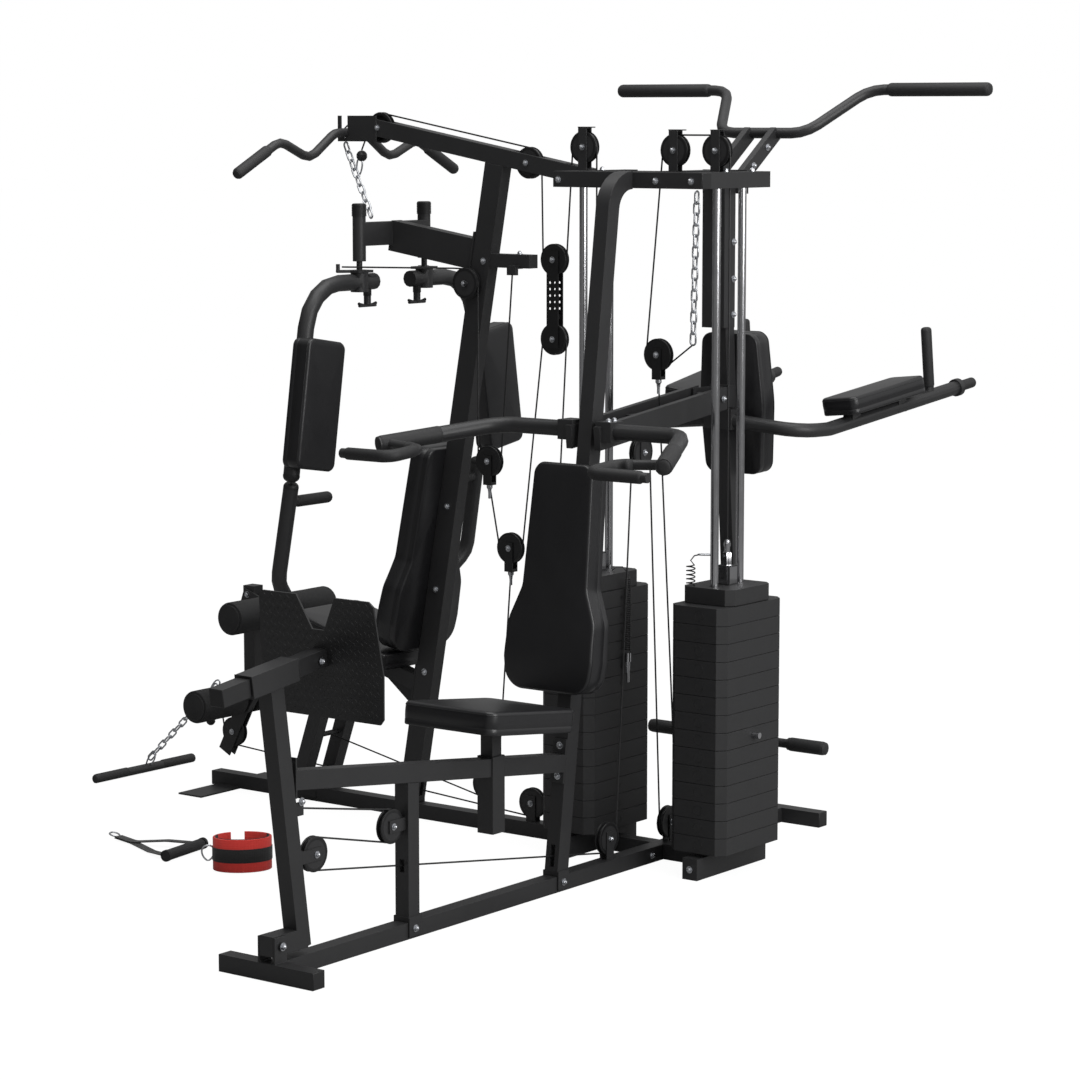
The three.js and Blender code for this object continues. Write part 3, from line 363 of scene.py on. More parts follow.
# Neoprene with a knitted red face: saturated and matt with a slight nap.
NEOPRENE = Woven("knit_faced_neoprene", "neoprene", "#d3322c", "#de3c34", 0.86, 0.0, 2.0, 0.3, 18.0,
    0.0, 3.6)
# Injection-moulded end caps and plugs in black polyethylene.
END_CAP = Finish("moulded_end_cap", "nylon", "#1a1a1b", "#202021", 0.5, 0.0, 3.0, 0.08, 30.0)

NODE_FINISHES = {
    "powder_coat": POWDER_COAT,
    "vinyl_pad": VINYL,
    "foam_sleeve": FOAM,
    "coated_cable": JACKET,
    "chromed_steel": CHROME,
    "cast_plate": PLATE_PAINT,
    "nylon": NYLON,
    "tread_plate": TREAD_STEEL,
    "webbing": WEBBING,
    "neoprene": NEOPRENE,
}


# ---- mesh work -----------------------------------------------------------------------------


def basis(along: Vector) -> tuple[Vector, Vector, Vector]:
    """Finds two directions square to a third.

    Args:
        along: The direction to build on.

    Returns:
        Two unit vectors square to it, and its own unit vector.
    """
    forward = along.normalized()
    hint = Vector((0, 0, 1)) if abs(forward.z) < 0.9 else Vector((1, 0, 0))
    right = hint.cross(forward).normalized()
    return right, forward.cross(right), forward


def turn_profile(
    bm: bmesh.types.BMesh, profile: Profile, origin: Vector, along: Vector, segments: int = 24
) -> None:
    """Spins a profile round a line and adds it to the mesh.

    Args:
        bm: The mesh being built.
        profile: Radius and height pairs in millimetres; a radius of 0 closes an end.
        origin: Where height 0 lies, in metres.
        along: Direction of the heights.
        segments: Faces round the axis.
    """
    right, up, forward = basis(along)
    rings: list[list[bmesh.types.BMVert]] = []
    for radius, height in profile:
        centre = origin + forward * height * 0.001
        if radius == 0:
            rings.append([bm.verts.new(centre)])
            continue
        ring = []
        for k in range(segments):
            angle = 2 * math.pi * k / segments
            offset = right * math.cos(angle) + up * math.sin(angle)
            ring.append(bm.verts.new(centre + offset * radius * 0.001))
        rings.append(ring)
    for low, high in zip(rings, rings[1:]):
        for k in range(segments):
            n = (k + 1) % segments
            corners = [low[k % len(low)], low[n % len(low)], high[n % len(high)],
                high[k % len(high)]]
            unique = list(dict.fromkeys(corners))
            if len(unique) > 2:
                bm.faces.new(unique)


def add_box(
    bm: bmesh.types.BMesh, centre: Vector, size_mm: Point, frame: Matrix | None = None
) -> None:
    """Adds a box.

    Args:
        bm: The mesh being built.
        centre: Its centre in metres.
        size_mm: Its lengths.
        frame: Rotation of its own axes, if it is turned.
    """
    turn = frame.to_4x4() if frame else Matrix.Identity(4)
    scale = Matrix.Diagonal((size_mm[0] * 0.001, size_mm[1] * 0.001, size_mm[2] * 0.001, 1))
    bmesh.ops.create_cube(bm, size=1.0, matrix=Matrix.Translation(centre) @ turn @ scale)


def rounded(corners: Sequence[Vector], radius_mm: float, step: float = 0.25) -> list[Vector]:
    """Rounds the corners of a bent rod's centreline.

    Args:
        corners: The straight-line corners in metres.
        radius_mm: Bend radius.
        step: Largest angle between points in a bend, in radians.

    Returns:
        Points along the rounded line.
    """
    points = [corners[0]]
    radius = radius_mm * 0.001
    for before, here, after in zip(corners, corners[1:], corners[2:]):
        back = (before - here).normalized()
        on = (after - here).normalized()
        turn = math.pi - back.angle(on)
        middle = (back + on).normalized()
        centre = here + middle * (radius / math.cos(turn / 2))
        start = here + back * (radius * math.tan(turn / 2)) - centre
        axis = on.cross(back).normalized()
        steps = max(3, round(turn / step))
        for k in range(steps + 1):
            points.append(centre + Matrix.Rotation(turn * k / steps, 3, axis) @ start)
    points.append(corners[-1])
    return points


def lengthwise(points: Sequence[Vector], start: float, end: float) -> list[Vector]:
    """Cuts a stretch out of a line.

    Args:
        points: The line.
        start: Metres from its beginning.
        end: Metres from its beginning, or a negative number to mean the very end.

    Returns:
        The points of the stretch.
    """
    lengths = [0.0]
    for a, b in zip(points, points[1:]):
        lengths.append(lengths[-1] + (b - a).length)
    stop = lengths[-1] if end < 0 else end
    kept = []
    for i, (a, b) in enumerate(zip(points, points[1:])):
        span = lengths[i + 1] - lengths[i]
        for mark in (start, stop):
            if lengths[i] <= mark < lengths[i + 1]:
                kept.append((mark, a.lerp(b, (mark - lengths[i]) / span)))
        if start < lengths[i + 1] < stop:
            kept.append((lengths[i + 1], b))
    if stop >= lengths[-1]:
        kept.append((lengths[-1], points[-1]))
    ordered = [p for _, p in sorted(kept, key=lambda pair: pair[0])]
    return [p for i, p in enumerate(ordered) if i == 0 or (p - ordered[i - 1]).length > 1e-5]


@dataclass
class Workshop:
    """Makes pieces, gives them their finish and sets them on their bodies."""

    plan: Plan
    materials: dict[str, bpy.types.Material] = field(default_factory=dict)
    made: int = 0

    def finish(self, finish: Finish) -> bpy.types.Material:
        """The material of a finish, built once."""
        if finish.name not in self.materials:
            self.materials[finish.name] = finish.build()
        return self.materials[finish.name]

    def settle(
        self, obj: bpy.types.Object, finish: Finish, body: str, replaces: Sequence[str] = ()
    ) -> bpy.types.Object:
        """Puts a new object on its body with its material.

        Args:
            obj: The object, already in place.
            finish: Its finish.
            body: The body it moves with.
            replaces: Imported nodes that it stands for.

        Returns:
            The same object.
        """
        obj.data.materials.append(self.finish(finish))
        bpy.context.scene.collection.objects.link(obj)
        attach(obj, body)
        if replaces:
            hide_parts(*replaces)
        self.made += 1
        LOG.info("%s on %s", obj.name, body)
        return obj

    def mesh(
        self,
        name: str,
        bm: bmesh.types.BMesh,
        finish: Finish,
        body: str,
        replaces: Sequence[str] = (),
        sharp_degrees: float = 35.0,
    ) -> bpy.types.Object:
        """Turns a finished mesh into a piece.

        Args:
            name: The piece's name.
            bm: The mesh, which is freed.
            finish: Its finish.
            body: The body it moves with.
            replaces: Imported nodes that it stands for.
            sharp_degrees: Edges that turn more than this stay crisp.

        Returns:
            The piece.
        """
        bmesh.ops.recalc_face_normals(bm, faces=bm.faces)
        data = bpy.data.meshes.new(name)
        bm.to_mesh(data)
        bm.free()
        data.shade_smooth()
        data.set_sharp_from_angle(angle=math.radians(sharp_degrees))
        return self.settle(bpy.data.objects.new(name, data), finish, body, replaces)

    def wire(
        self,
        name: str,
        lines: Iterable[Sequence[Vector]],
        radius_mm: float,
        finish: Finish,
        body: str,
        closed: bool = False,
        sides: int = 4,
    ) -> bpy.types.Object:
        """Makes round wire or rod along one or more lines.

        Args:
            name: The piece's name.
            lines: Centrelines in metres.
            radius_mm: Radius of the wire.
            finish: Its finish.
            body: The body it moves with.
            closed: Whether each line joins up with its start.
            sides: Curve resolution; the wire has twice this plus four sides.

        Returns:
            The piece.
        """
        data = bpy.data.curves.new(name, "CURVE")
        data.dimensions = "3D"
        data.bevel_depth = radius_mm * 0.001
        data.bevel_resolution = sides
        data.use_fill_caps = not closed
        for points in lines:
            spline = data.splines.new("POLY")
            spline.points.add(len(points) - 1)
            for spot, point in zip(spline.points, points):
                spot.co = (*point, 1.0)
            spline.use_cyclic_u = closed
            spline.use_smooth = True
        return self.settle(bpy.data.objects.new(name, data), finish, body)


# ---- fittings ------------------------------------------------------------------------------


@dataclass
class Bolts:
    """Domed hex nuts on washers, all those of one body in one piece."""

    name: str
    body: str
    spots: Sequence[tuple[Point, Point]]
    nut_r: float = 7.4

    def build(self, shop: Workshop) -> None:
        """Makes the nuts and washers."""
        bm = bmesh.new()
        for spot, way in self.spots:
            origin = shop.plan.at(*spot)
            r = self.nut_r
            turn_profile(bm, [(0, 0), (r + 3, 0), (r + 3, 1.6), (0, 1.6)], origin, Vector(way), 18)
            turn_profile(
                bm, [(0, 1.6), (r, 1.6), (r, 6.2), (r - 1.6, 7.6), (0, 7.6)], origin, Vector(way), 6
            )
            turn_profile(
                bm, [(0, 7.2), (r - 3, 7.2), (r - 3, 9.2), (r - 5, 10.6), (0, 11)], origin,
                    Vector(way), 12
            )
        shop.mesh(self.name, bm, ZINC, self.body)


@dataclass
class Wheel:
    """A grooved cable pulley with its web, hub and axle nuts."""

    name: str
    body: str
    centre: Point
    axis: Axis = Axis.X
    reach: float = 14.0
    replaces: Sequence[str] = ()
    radius: float = 46.6
    half: float = 9.4

    def build(self, shop: Workshop) -> None:
        """Turns the wheel and puts a nut on each end of its axle."""
        r, h = self.radius, self.half
        side = [(0, -h), (11, -h), (12.5, -h + 0.6), (12.5, -5.2), (15, -4.4), (32, -4.4),
            (35, -5.4),
                (36.5, -h + 0.4), (38, -h), (r - 2.4, -h), (r - 0.5, -h + 0.8), (r, -h + 2.2)]
        groove = [(r - 0.2, -h + 3.4), (38.6, -3.0), (38.6, 3.0), (r - 0.2, h - 3.4)]
        profile = side + groove + [(a, -b) for a, b in reversed(side)]
        bm = bmesh.new()
        centre = shop.plan.at(*self.centre)
        turn_profile(bm, profile, centre, self.axis.vector, 40)
        shop.mesh(self.name, bm, NYLON, self.body, self.replaces, 28)
        ends = []
        for sign in (-1, 1):
            way = tuple(sign * c for c in self.axis.value)
            spot = tuple(c + w * self.reach for c, w in zip(self.centre, way))
            ends.append((spot, way))
        Bolts(f"{self.name}_nuts", self.body if not self.replaces else "frame", ends,
            6.6).build(shop)


@dataclass
class Chain:
    """Welded link chain between points, with links at right angles to each other."""

    name: str
    body: str
    route: Sequence[Point]
    pitch: float = 31.0
    width: float = 24.0
    wire: float = 2.9

    def build(self, shop: Workshop) -> None:
        """Lays the links end to end along the route."""
        corners = [shop.plan.at(*p) for p in self.route]
        total = sum((b - a).length for a, b in zip(corners, corners[1:]))
        count = max(2, round(total / (self.pitch * 0.001)))
        links = []
        for i in range(count):
            start = lengthwise(corners, total * i / count, total * (i + 1) / count + 1e-7)
            a, b = start[0], start[-1]
            right, up, forward = basis(b - a)
            across = right if i % 2 else up
            half = (b - a).length / 2 + self.wire * 0.001
            bow = (self.width / 2 - self.wire) * 0.001
            middle = (a + b) / 2
            outline = []
            for k in range(16):
                angle = 2 * math.pi * (k + 0.5) / 16
                reach = (half - bow) * (1 if math.sin(angle) > 0 else -1)
                outline.append(
                    middle + forward * (reach + bow * math.sin(angle)) + across * bow * math.cos(angle)
                )
            links.append(outline)
        shop.wire(self.name, links, self.wire, ZINC, self.body, True, 2)


@dataclass
class Coil:
    """A black coiled lanyard."""

    name: str
    body: str
    foot: Point
    top: Point
    turns: int
    radius: float = 8.0
    wire: float = 1.5
    lead: Sequence[Point] = ()

    def build(self, shop: Workshop) -> None:
        """Winds the coil between its ends, and adds its lead."""
        a, b = shop.plan.at(*self.foot), shop.plan.at(*self.top)
        right, up, _ = basis(b - a)
        points = []
        steps = self.turns * 14
        for k in range(steps + 1):
            angle = 2 * math.pi * k / 14
            bow = self.radius * 0.001
            points.append(a.lerp(b,
                k / steps) + right * bow * math.cos(angle) + up * bow * math.sin(angle))
        points += [shop.plan.at(*p) for p in self.lead]
        shop.wire(self.name, [points], self.wire, JACKET, self.body, False, 2)


@dataclass
class SnapHook:
    """A small spring hook, bent from round wire."""

    name: str
    body: str
    centre: Point
    length: float = 60.0
    width: float = 26.0
    tilt: Point = (0.0, 0.0, 1.0)
    face: Point = (0.0, 1.0, 0.0)

    def build(self, shop: Workshop) -> None:
        """Bends the pear-shaped loop of the hook."""
        centre = shop.plan.at(*self.centre)
        along = Vector(self.tilt).normalized()
        across = Vector(self.face).cross(along).normalized()
        loop = []
        for k in range(20):
            angle = 2 * math.pi * k / 20
            bow = self.width / 2 * (0.8 + 0.2 * math.sin(angle))
            loop.append(
                centre + (along * self.length / 2 * math.sin(angle) + across * bow * math.cos(angle)) * 0.001
            )
        shop.wire(self.name, [loop], 2.6, ZINC, self.body, True, 2)


@dataclass
class Grips:
    """Slip-on rubber grips that follow the end of a handle."""

    name: str
    body: str
    lines: Sequence[Sequence[Point]]
    radius: float
    bend: float = 30.0

    def build(self, shop: Workshop) -> None:
        """Runs a sleeve along each line and rounds its ends."""
        bm = bmesh.new()
        for line in self.lines:
            corners = [shop.plan.at(*p) for p in line]
            points = rounded(corners, self.bend) if len(corners) > 2 else corners
            sweep_sleeve(bm, points, self.radius)
        shop.mesh(self.name, bm, GRIP_RUBBER, self.body, (), 60)


def sweep_sleeve(bm: bmesh.types.BMesh, points: Sequence[Vector], radius_mm: float) -> None:
    """Adds a round sleeve with softly rounded ends along a line.

    Args:
        bm: The mesh being built.
        points: The centreline in metres.
        radius_mm: Radius of the sleeve.
    """
    r = radius_mm * 0.001
    soft = r * 0.6
    first = (points[1] - points[0]).normalized()
    last = (points[-1] - points[-2]).normalized()
    dome = [(soft * (1 - math.sin(a)), r - soft * (1 - math.cos(a))) for a in (1.571, 1.2, 0.8, 0.4,
        0.0)]
    stations = [(points[0] + first * back, radius) for back, radius in dome]
    stations += [(p, r) for p in points[1:-1]]
    stations += [(points[-1] - last * back, radius) for back, radius in reversed(dome)]
    right, up, _ = basis(first)
    rings = []
    for i, (spot, radius) in enumerate(stations):
        ahead = stations[min(i + 1, len(stations) - 1)][0] - stations[max(i - 1, 0)][0]
        forward = ahead.normalized()
        right = (right - forward * right.dot(forward)).normalized()
        up = forward.cross(right)
        ring = []
        for k in range(20):
            angle = 2 * math.pi * k / 20
            ring.append(bm.verts.new(spot + (right * math.cos(angle) + up * math.sin(angle)) * radius))
        rings.append(ring)
    for low, high in zip(rings, rings[1:]):
        for k in range(20):
            bm.faces.new([low[k], low[(k + 1) % 20], high[(k + 1) % 20], high[k]])
    bm.faces.new(list(reversed(rings[0])))
    bm.faces.new(rings[-1])


# ---- upholstery ----------------------------------------------------------------------------


def round_outline(corners: Sequence[tuple[float, float, float]],
    step: float = 0.14) -> list[Vector]:
    """Rounds the corners of a flat outline.

    Args:
        corners: x, y and corner radius in millimetres, anticlockwise.
        step: Largest angle between points of a corner, in radians.

    Returns:
        Closely spaced points round the outline.
    """
    points: list[Vector] = []
    count = len(corners)
    for i, (x, y, radius) in enumerate(corners):
        here = Vector((x, y))
        back = (Vector(corners[i - 1][:2]) - here).normalized()
        on = (Vector(corners[(i + 1) % count][:2]) - here).normalized()
        turn = math.pi - back.angle(on)
        middle = (back + on).normalized()
        centre = here + middle * (radius / math.cos(turn / 2))
        start = here + back * (radius * math.tan(turn / 2)) - centre
        sign = 1 if back.x * on.y - back.y * on.x < 0 else -1
        steps = max(2, math.ceil(turn / step))
        for k in range(steps + 1):
            angle = sign * turn * k / steps
            points.append(
                centre
                + Vector((start.x * math.cos(angle) - start.y * math.sin(angle),
                          start.x * math.sin(angle) + start.y * math.cos(angle)))
            )
    dense: list[Vector] = []
    for a, b in zip(points, points[1:] + points[:1]):
        parts = max(1, math.ceil((b - a).length / 14))
        dense += [a.lerp(b, k / parts) for k in range(parts)]
    return dense


@dataclass
class Cushion:
    """An upholstered pad: board back, foam sides, piped edge and a crowned face."""

    name: str
    body: str
    node: str
    corners: Sequence[tuple[float, float, float]]
    origin: Point
    side: Point
    up: Point
    thick: float
    crown: float = 5.0
    edge: float = 9.0
    lumbar: float = 0.0
    lumbar_at: float = 0.0

    def build(self, shop: Workshop) -> None:
        """Lofts the pad from rings and lays its piping."""
        side, up = Vector(self.side).normalized(), Vector(self.up).normalized()
        up = (up - side * up.dot(side)).normalized()
        out = side.cross(up)
        origin = shop.plan.at(*self.origin)
        outline = round_outline(self.corners)
        count = len(outline)
        normals = []
        for i in range(count):
            run = outline[(i + 1) % count] - outline[i - 1]
            normals.append(Vector((run.y, -run.x)).normalized())
        centre = sum(outline, Vector((0, 0))) / count

        def lift(point: Vector, height: float) -> Vector:
            swell = self.lumbar * math.exp(-(((point.y - self.lumbar_at) / 95.0) ** 2))
            share = max(0.0, height / self.thick)
            return origin + (side * point.x + up * point.y + out * (height + swell * share)) * 0.001

        t, e = self.thick, self.edge
        rings = [(2.4, 0.0), (0.5, 1.6), (0.0, 4.0), (0.0, t * 0.26), (0.7, t * 0.275),
            (0.7, t * 0.285),
                 (0.0, t * 0.3), (-0.8, t * 0.6), (0.0, t - e)]
        rings += [(e * (1 - math.cos(a)), t - e + e * math.sin(a)) for a in (0.3, 0.6, 0.9, 1.2,
            1.45)]
        loops = [[lift(p - n * inset, height) for p, n in zip(outline, normals)] for inset,
            height in rings]
        inset = rings[-1][0]
        for scale in (0.94, 0.86, 0.76, 0.64, 0.5, 0.36, 0.22, 0.1):
            height = t - e + e * math.sin(1.45) + self.crown * (1 - scale**2)
            loops.append(
                [lift(centre + (p - n * inset - centre) * scale, height) for p,
                    n in zip(outline, normals)]
            )
        bm = bmesh.new()
        verts = [[bm.verts.new(p) for p in loop] for loop in loops]
        for low, high in zip(verts, verts[1:]):
            for k in range(count):
                n = (k + 1) % count
                bm.faces.new([low[k], low[n], high[n], high[k]])
        bm.faces.new(verts[-1])
        bm.faces.new(list(reversed(verts[0])))
        pad = shop.mesh(self.name, bm, VINYL, self.body, (self.node,), 70)
        welt = [lift(p + n * 0.2, t - e) for p, n in zip(outline, normals)]
        shop.wire(f"{self.name}_piping", [welt], 1.0, VINYL, self.body, True, 2)


@dataclass
class FoamRoller:
    """A foam sleeve on its bar with a domed plastic end cap."""

    name: str
    body: str
    node: str
    centre: Point
    outward: float

    def build(self, shop: Workshop) -> None:
        """Turns the sleeve and its end cap."""
        way = Vector((self.outward, 0, 0))
        centre = shop.plan.at(*self.centre)
        sleeve = [(13.4, -100), (46, -100), (50, -98.6), (52, -95), (52, -40), (51.6, 0), (52, 40),
                  (52, 93), (50.6, 97.4), (46, 99), (44, 99), (13.4, 99)]
        bm = bmesh.new()
        turn_profile(bm, sleeve, centre, way, 40)
        roller = shop.mesh(self.name, bm, FOAM, self.body, (self.node,), 50)
        cap = [(0, 97), (44, 97), (44, 101.6), (42.5, 103.2), (39, 103.8), (37, 102.8), (0, 103.4)]
        bm = bmesh.new()
        turn_profile(bm, cap, centre, way, 36)
        shop.mesh(f"{self.name}_cap", bm, END_CAP, self.body, (), 40)


# ---- sub-assemblies -------------------------------------------------------------------------


def front_upright_x(z: float) -> float:
    """Centreline of the front upright at a height, in millimetres."""
    return -514 + 0.128 * (z - 45)


def side_upright_y(z: float) -> float:
    """Centreline of the side upright at a height, in millimetres."""
    return 945.6 - 0.176 * (z - 45)


@dataclass
class UpholsteryShop:
    """All pads and rollers of the three stations."""

    def build(self, shop: Workshop) -> None:
        """Makes every pad and roller."""
        back = [(-100, 316, 34), (-112, -30, 60), (-148, -120, 80), (-152, -230, 60),
            (-140, -316, 62),
                (140, -316, 62), (152, -230, 60), (148, -120, 80), (112, -30, 60), (100, 316, 34)]
        lean = 0.128
        Cushion("front_back_cushion", "frame", "front_back_pad", back,
                (front_upright_x(876) - 43.5, 0, 876), (0, -1, 0), (lean, 0, 1), 72, 4, 8, 9,
                    -215).build(shop)
        Cushion("side_back_cushion", "frame", "side_back_pad", back,
                (0, side_upright_y(842) + 34.5, 842), (-1, 0, 0), (0, -0.176, 1), 72, 4, 8, 9,
                    -215).build(shop)
        seat = [(-190, -156, 30), (190, -156, 30), (190, 156, 30), (-190, 156, 30)]
        Cushion("front_seat_cushion", "seat", "front_seat_pad", seat, (-818, 0, 507),
                (1, 0, -0.122), (0, 1, 0), 63, 6, 9).build(shop)
        Cushion("side_seat_cushion", "frame", "side_seat_pad", seat,
            (0, 1124, 427 + 0.29 * 194 + 39.5),
                (0, -1, -0.29), (1, 0, 0), 57, 6, 9).build(shop)
        rear = [(-95, 209, 34), (-111, 0, 300), (-97, -209, 34), (97, -209, 34), (111, 0, 300),
            (95, 209, 34)]
        Cushion("rear_back_cushion", "frame", "rear_back_pad", rear, (346.4, 0, 1306),
                (0, 1, 0), (-0.0708, 0, 1), 74, 4, 10).build(shop)
        arm = [(-175, -67, 24), (175, -67, 24), (175, 67, 24), (-175, 67, 24)]
        for name, sign in (("right", -1), ("left", 1)):
            Cushion(f"{name}_arm_cushion", "frame", f"{name}_arm_pad", arm,
                (670, sign * 301, 1297.6),
                    (1, sign * 0.115, 0.135), (-sign * 0.115, 1, sign * 0.11), 52, 4, 9).build(shop)
        wing = [(-83, -191, 24), (83, -191, 24), (83, 191, 24), (-83, 191, 24)]
        for name, sign in (("left", -1), ("right", 1)):
            Cushion(f"butterfly_cushion_{name}", f"butterfly_{name}", f"butterfly_pad_{name}", wing,
                    (sign * 432, 984.6, 1306), (1, 0, sign * 0.155), (-sign * 0.155, 0, 1), 65, 4,
                        8).build(shop)
            FoamRoller(f"upper_foam_{name}", "frame", f"upper_roller_{name}",
                       (sign * 129, 1488, 592), sign).build(shop)
            FoamRoller(f"lower_foam_{name}", "developer", f"lower_roller_{name}",
                       (sign * 129, 1643, 295), sign).build(shop)


@dataclass
class Pulleys:
    """Every cable pulley, with the strap tabs of the upper ones."""

    def build(self, shop: Workshop) -> None:
        """Makes the wheels."""
        fixed = [("top_wheel_right", (-12, -188, 2053), Axis.X, 13.2),
            ("top_wheel_middle", (-12, -45, 2053), Axis.X, 13.2),
                 ("top_wheel_left", (-12, 274, 2060), Axis.X, 13.2),
                     ("boom_rear_wheel", (0, 482, 2013), Axis.X, 22.7),
                 ("block_top_wheel", (0, 391, 1732), Axis.X, 13.2),
                     ("block_low_wheel", (0, 391, 1499), Axis.X, 13.2),
                 ("hanging_right_wheel", (-12, 10, 1471), Axis.X, 13.2),
                     ("hanging_high_wheel", (-36, 607, 1128), Axis.X, 13.2),
                 ("hanging_low_wheel", (0, 555, 867), Axis.X, 13.2),
                     ("side_upright_wheel", (-36, 693, 1655), Axis.X, 13.2),
                 ("side_base_wheel", (0, 472, 100), Axis.X, 13.2),
                     ("bend_wheel", (0, 650, 135), Axis.X, 13.2),
                 ("press_base_wheel", (-272, 0, 105), Axis.Y, 13.2),
                     ("rear_base_wheel", (33, 0, 101), Axis.Y, 13.2),
                 ("post_wheel", (-1238, 0, 310), Axis.Y, 13.2)]
        for name, centre, axis, reach in fixed:
            Wheel(name, "frame", centre, axis, reach).build(shop)
        Wheel("press_arm_wheel", "press", (-112, 0, 1199), Axis.Y, 13.2).build(shop)
        Wheel("lever_wheel", "lever", (-1543, 0, 292), Axis.Y, 13.2).build(shop)
        Wheel("low_row_wheel", "developer", (0, 1681, 180), Axis.X, 14.2).build(shop)
        Wheel("boom_tip_wheel", "tip_wheel", (0, 1047, 2114), Axis.X, 22.7,
            ("boom_tip_pulley",)).build(shop)
        bm = bmesh.new()
        for y, z in ((-188, 2110), (-45, 2110), (274, 2117)):
            add_box(bm, shop.plan.at(-12, y - 6, z + 0.2), (26, 46, 3.2))
        tabs = shop.mesh("strap_tabs", bm, POWDER_COAT, "frame")
        tabs.modifiers.new("soft", "BEVEL").width = 0.0009
        bm = bmesh.new()
        for centre in ((-12, 10, 1471), (-36, 607, 1128), (0, 555, 867)):
            x, y, z = centre
            turn_profile(bm,
                [(0, -71), (9, -71), (9, -80), (6, -84), (4.4, -96), (4.4, -112), (0, -113)],
                         shop.plan.at(x, y, z), Vector((0, 0, 1)), 16)
        shop.mesh("hanging_clevis_studs", bm, ZINC, "frame")


@dataclass
class BoltSets:
    """The visible nuts on every joint of the frame and arms."""

    def build(self, shop: Workshop) -> None:
        """Makes one set of nuts per body."""
        left, right, up = (-1.0, 0.0, 0.0), (0.0, -1.0, 0.0), (0.0, 0.0, 1.0)
        frame: list[tuple[Point, Point]] = []
        for x in (-514, -1167.5, 411):
            frame += [((x, -27.2, 27), right), ((x, 27.2, 27), (0.0, 1.0, 0.0))]
        for sign in (-1.0, 1.0):
            frame.append(((sign * 27.2, 945.6, 27), (sign, 0.0, 0.0)))
        frame += [((-191.2, -231, 30), left), ((-191.2, 231, 30), left), ((-80, -22.7, 22), right)]
        frame += [((-188.2, y, 1970), left) for y in (-220, -100, 238)]
        for z in (325, 410):
            frame.append(((front_upright_x(z) - 32.4, -2, z), left))
        frame += [((-1631.2, 0, 470), left), ((-1631.2, 0, 538), left)]
        for z in (978, 721, 461):
            frame.append(((-22.8, side_upright_y(z), z), left))
        frame += [((296, -39.2, z), right) for z in (1785, 1677, 1573)]
        frame += [((-12, -218, 1994), up), ((-12, 212, 1994), up), ((100, -231, 1994), up)]
        frame += [((0, 521, 1744), up), ((-22.8, 640, 1722), left), ((230, -35.2, 1332), right)]
        frame += [((446, -56.2, 2058), right), ((372, -56.2, 2005), right)]
        frame += [((-28, 1595, 637), left), ((-28, 1540, 618), left),
            ((28, 1595, 637), (1.0, 0.0, 0.0))]
        Bolts("frame_nuts", "frame", frame).build(shop)
        Bolts("lever_nuts", "lever",
            [((-1700, -34.4, 88), right), ((-1700, 34.4, 88), (0.0, 1.0, 0.0)),
                                      ((-1591, -5, 436), right)], 8.0).build(shop)
        Bolts("foot_plate_nuts", "foot",
            [((-1532, -26, 789), right), ((-1532, 26, 789), (0.0, 1.0, 0.0))]).build(shop)
        Bolts("press_nuts", "press",
            [((215, -62.4, 1332), right), ((215, 62.4, 1332), (0.0, 1.0, 0.0)),
                                      ((-297, -59.2, 1274), right), ((-370, -72, 1309.2), up),
                                          ((-342, -72, 1309.2), up)]).build(shop)
        Bolts("side_press_nuts", "side_press",
            [((-92.8, 1338, 75), left), ((92.8, 1338, 75), (1.0, 0.0, 0.0))]).build(shop)


@dataclass
class HandGrips:
    """Rubber grips on every handle."""

    def build(self, shop: Workshop) -> None:
        """Makes the grips."""
        press = []
        dip = []
        pull = []
        lat = []
        side = []
        pegs = []
        for s in (-1, 1):
            press.append([(-702, s * 388, 1237), (-690, s * 337, 1234), (-826, s * 337, 1224),
                (-813, s * 505, 1222)])
            press.append([(-520, s * 397, 1260.3), (-699, s * 488.6, 1237.6)])
            dip.append([(1084, s * 348.7, 1324.9), (1156, s * 356.8, 1334.8)])
            pull.append([(696, s * 315, 2226), (696, s * 659, 2226)])
            pegs.append([(392, s * 184, 297), (392, s * 317, 297)])
            lat.append([(s * 372, 1175, 2049.6), (s * 516, 1175, 1977.5)])
            side.append([(s * 418, 1042, 1012), (s * 264, 1042, 1012)])
        Grips("press_u_grips", "press", press[0::2], 17.5, 34).build(shop)
        Grips("press_outer_grips", "press", press[1::2], 24.6).build(shop)
        Grips("dip_end_grips", "frame", dip, 16.0).build(shop)
        Grips("foot_peg_grips", "frame", pegs, 20.5).build(shop)
        Grips("dip_upright_grips", "frame",
            [[(933.4, s * 330.7, 1330), (911.8, s * 329, 1515)] for s in (-1, 1)], 16.4).build(shop)
        Grips("pull_up_grips", "frame", pull, 20.0).build(shop)
        Grips("lat_grips", "lat_handle", lat, 17.5).build(shop)
        Grips("side_press_grips", "side_press", side, 17.5).build(shop)
        Grips("row_grips", "row_handle",
            [[(-250, 2070.1, 15.2), (-96, 2067, 15.2)], [(53, 2064, 15.2), (207, 2061, 15.2)]],
                15.0).build(shop)


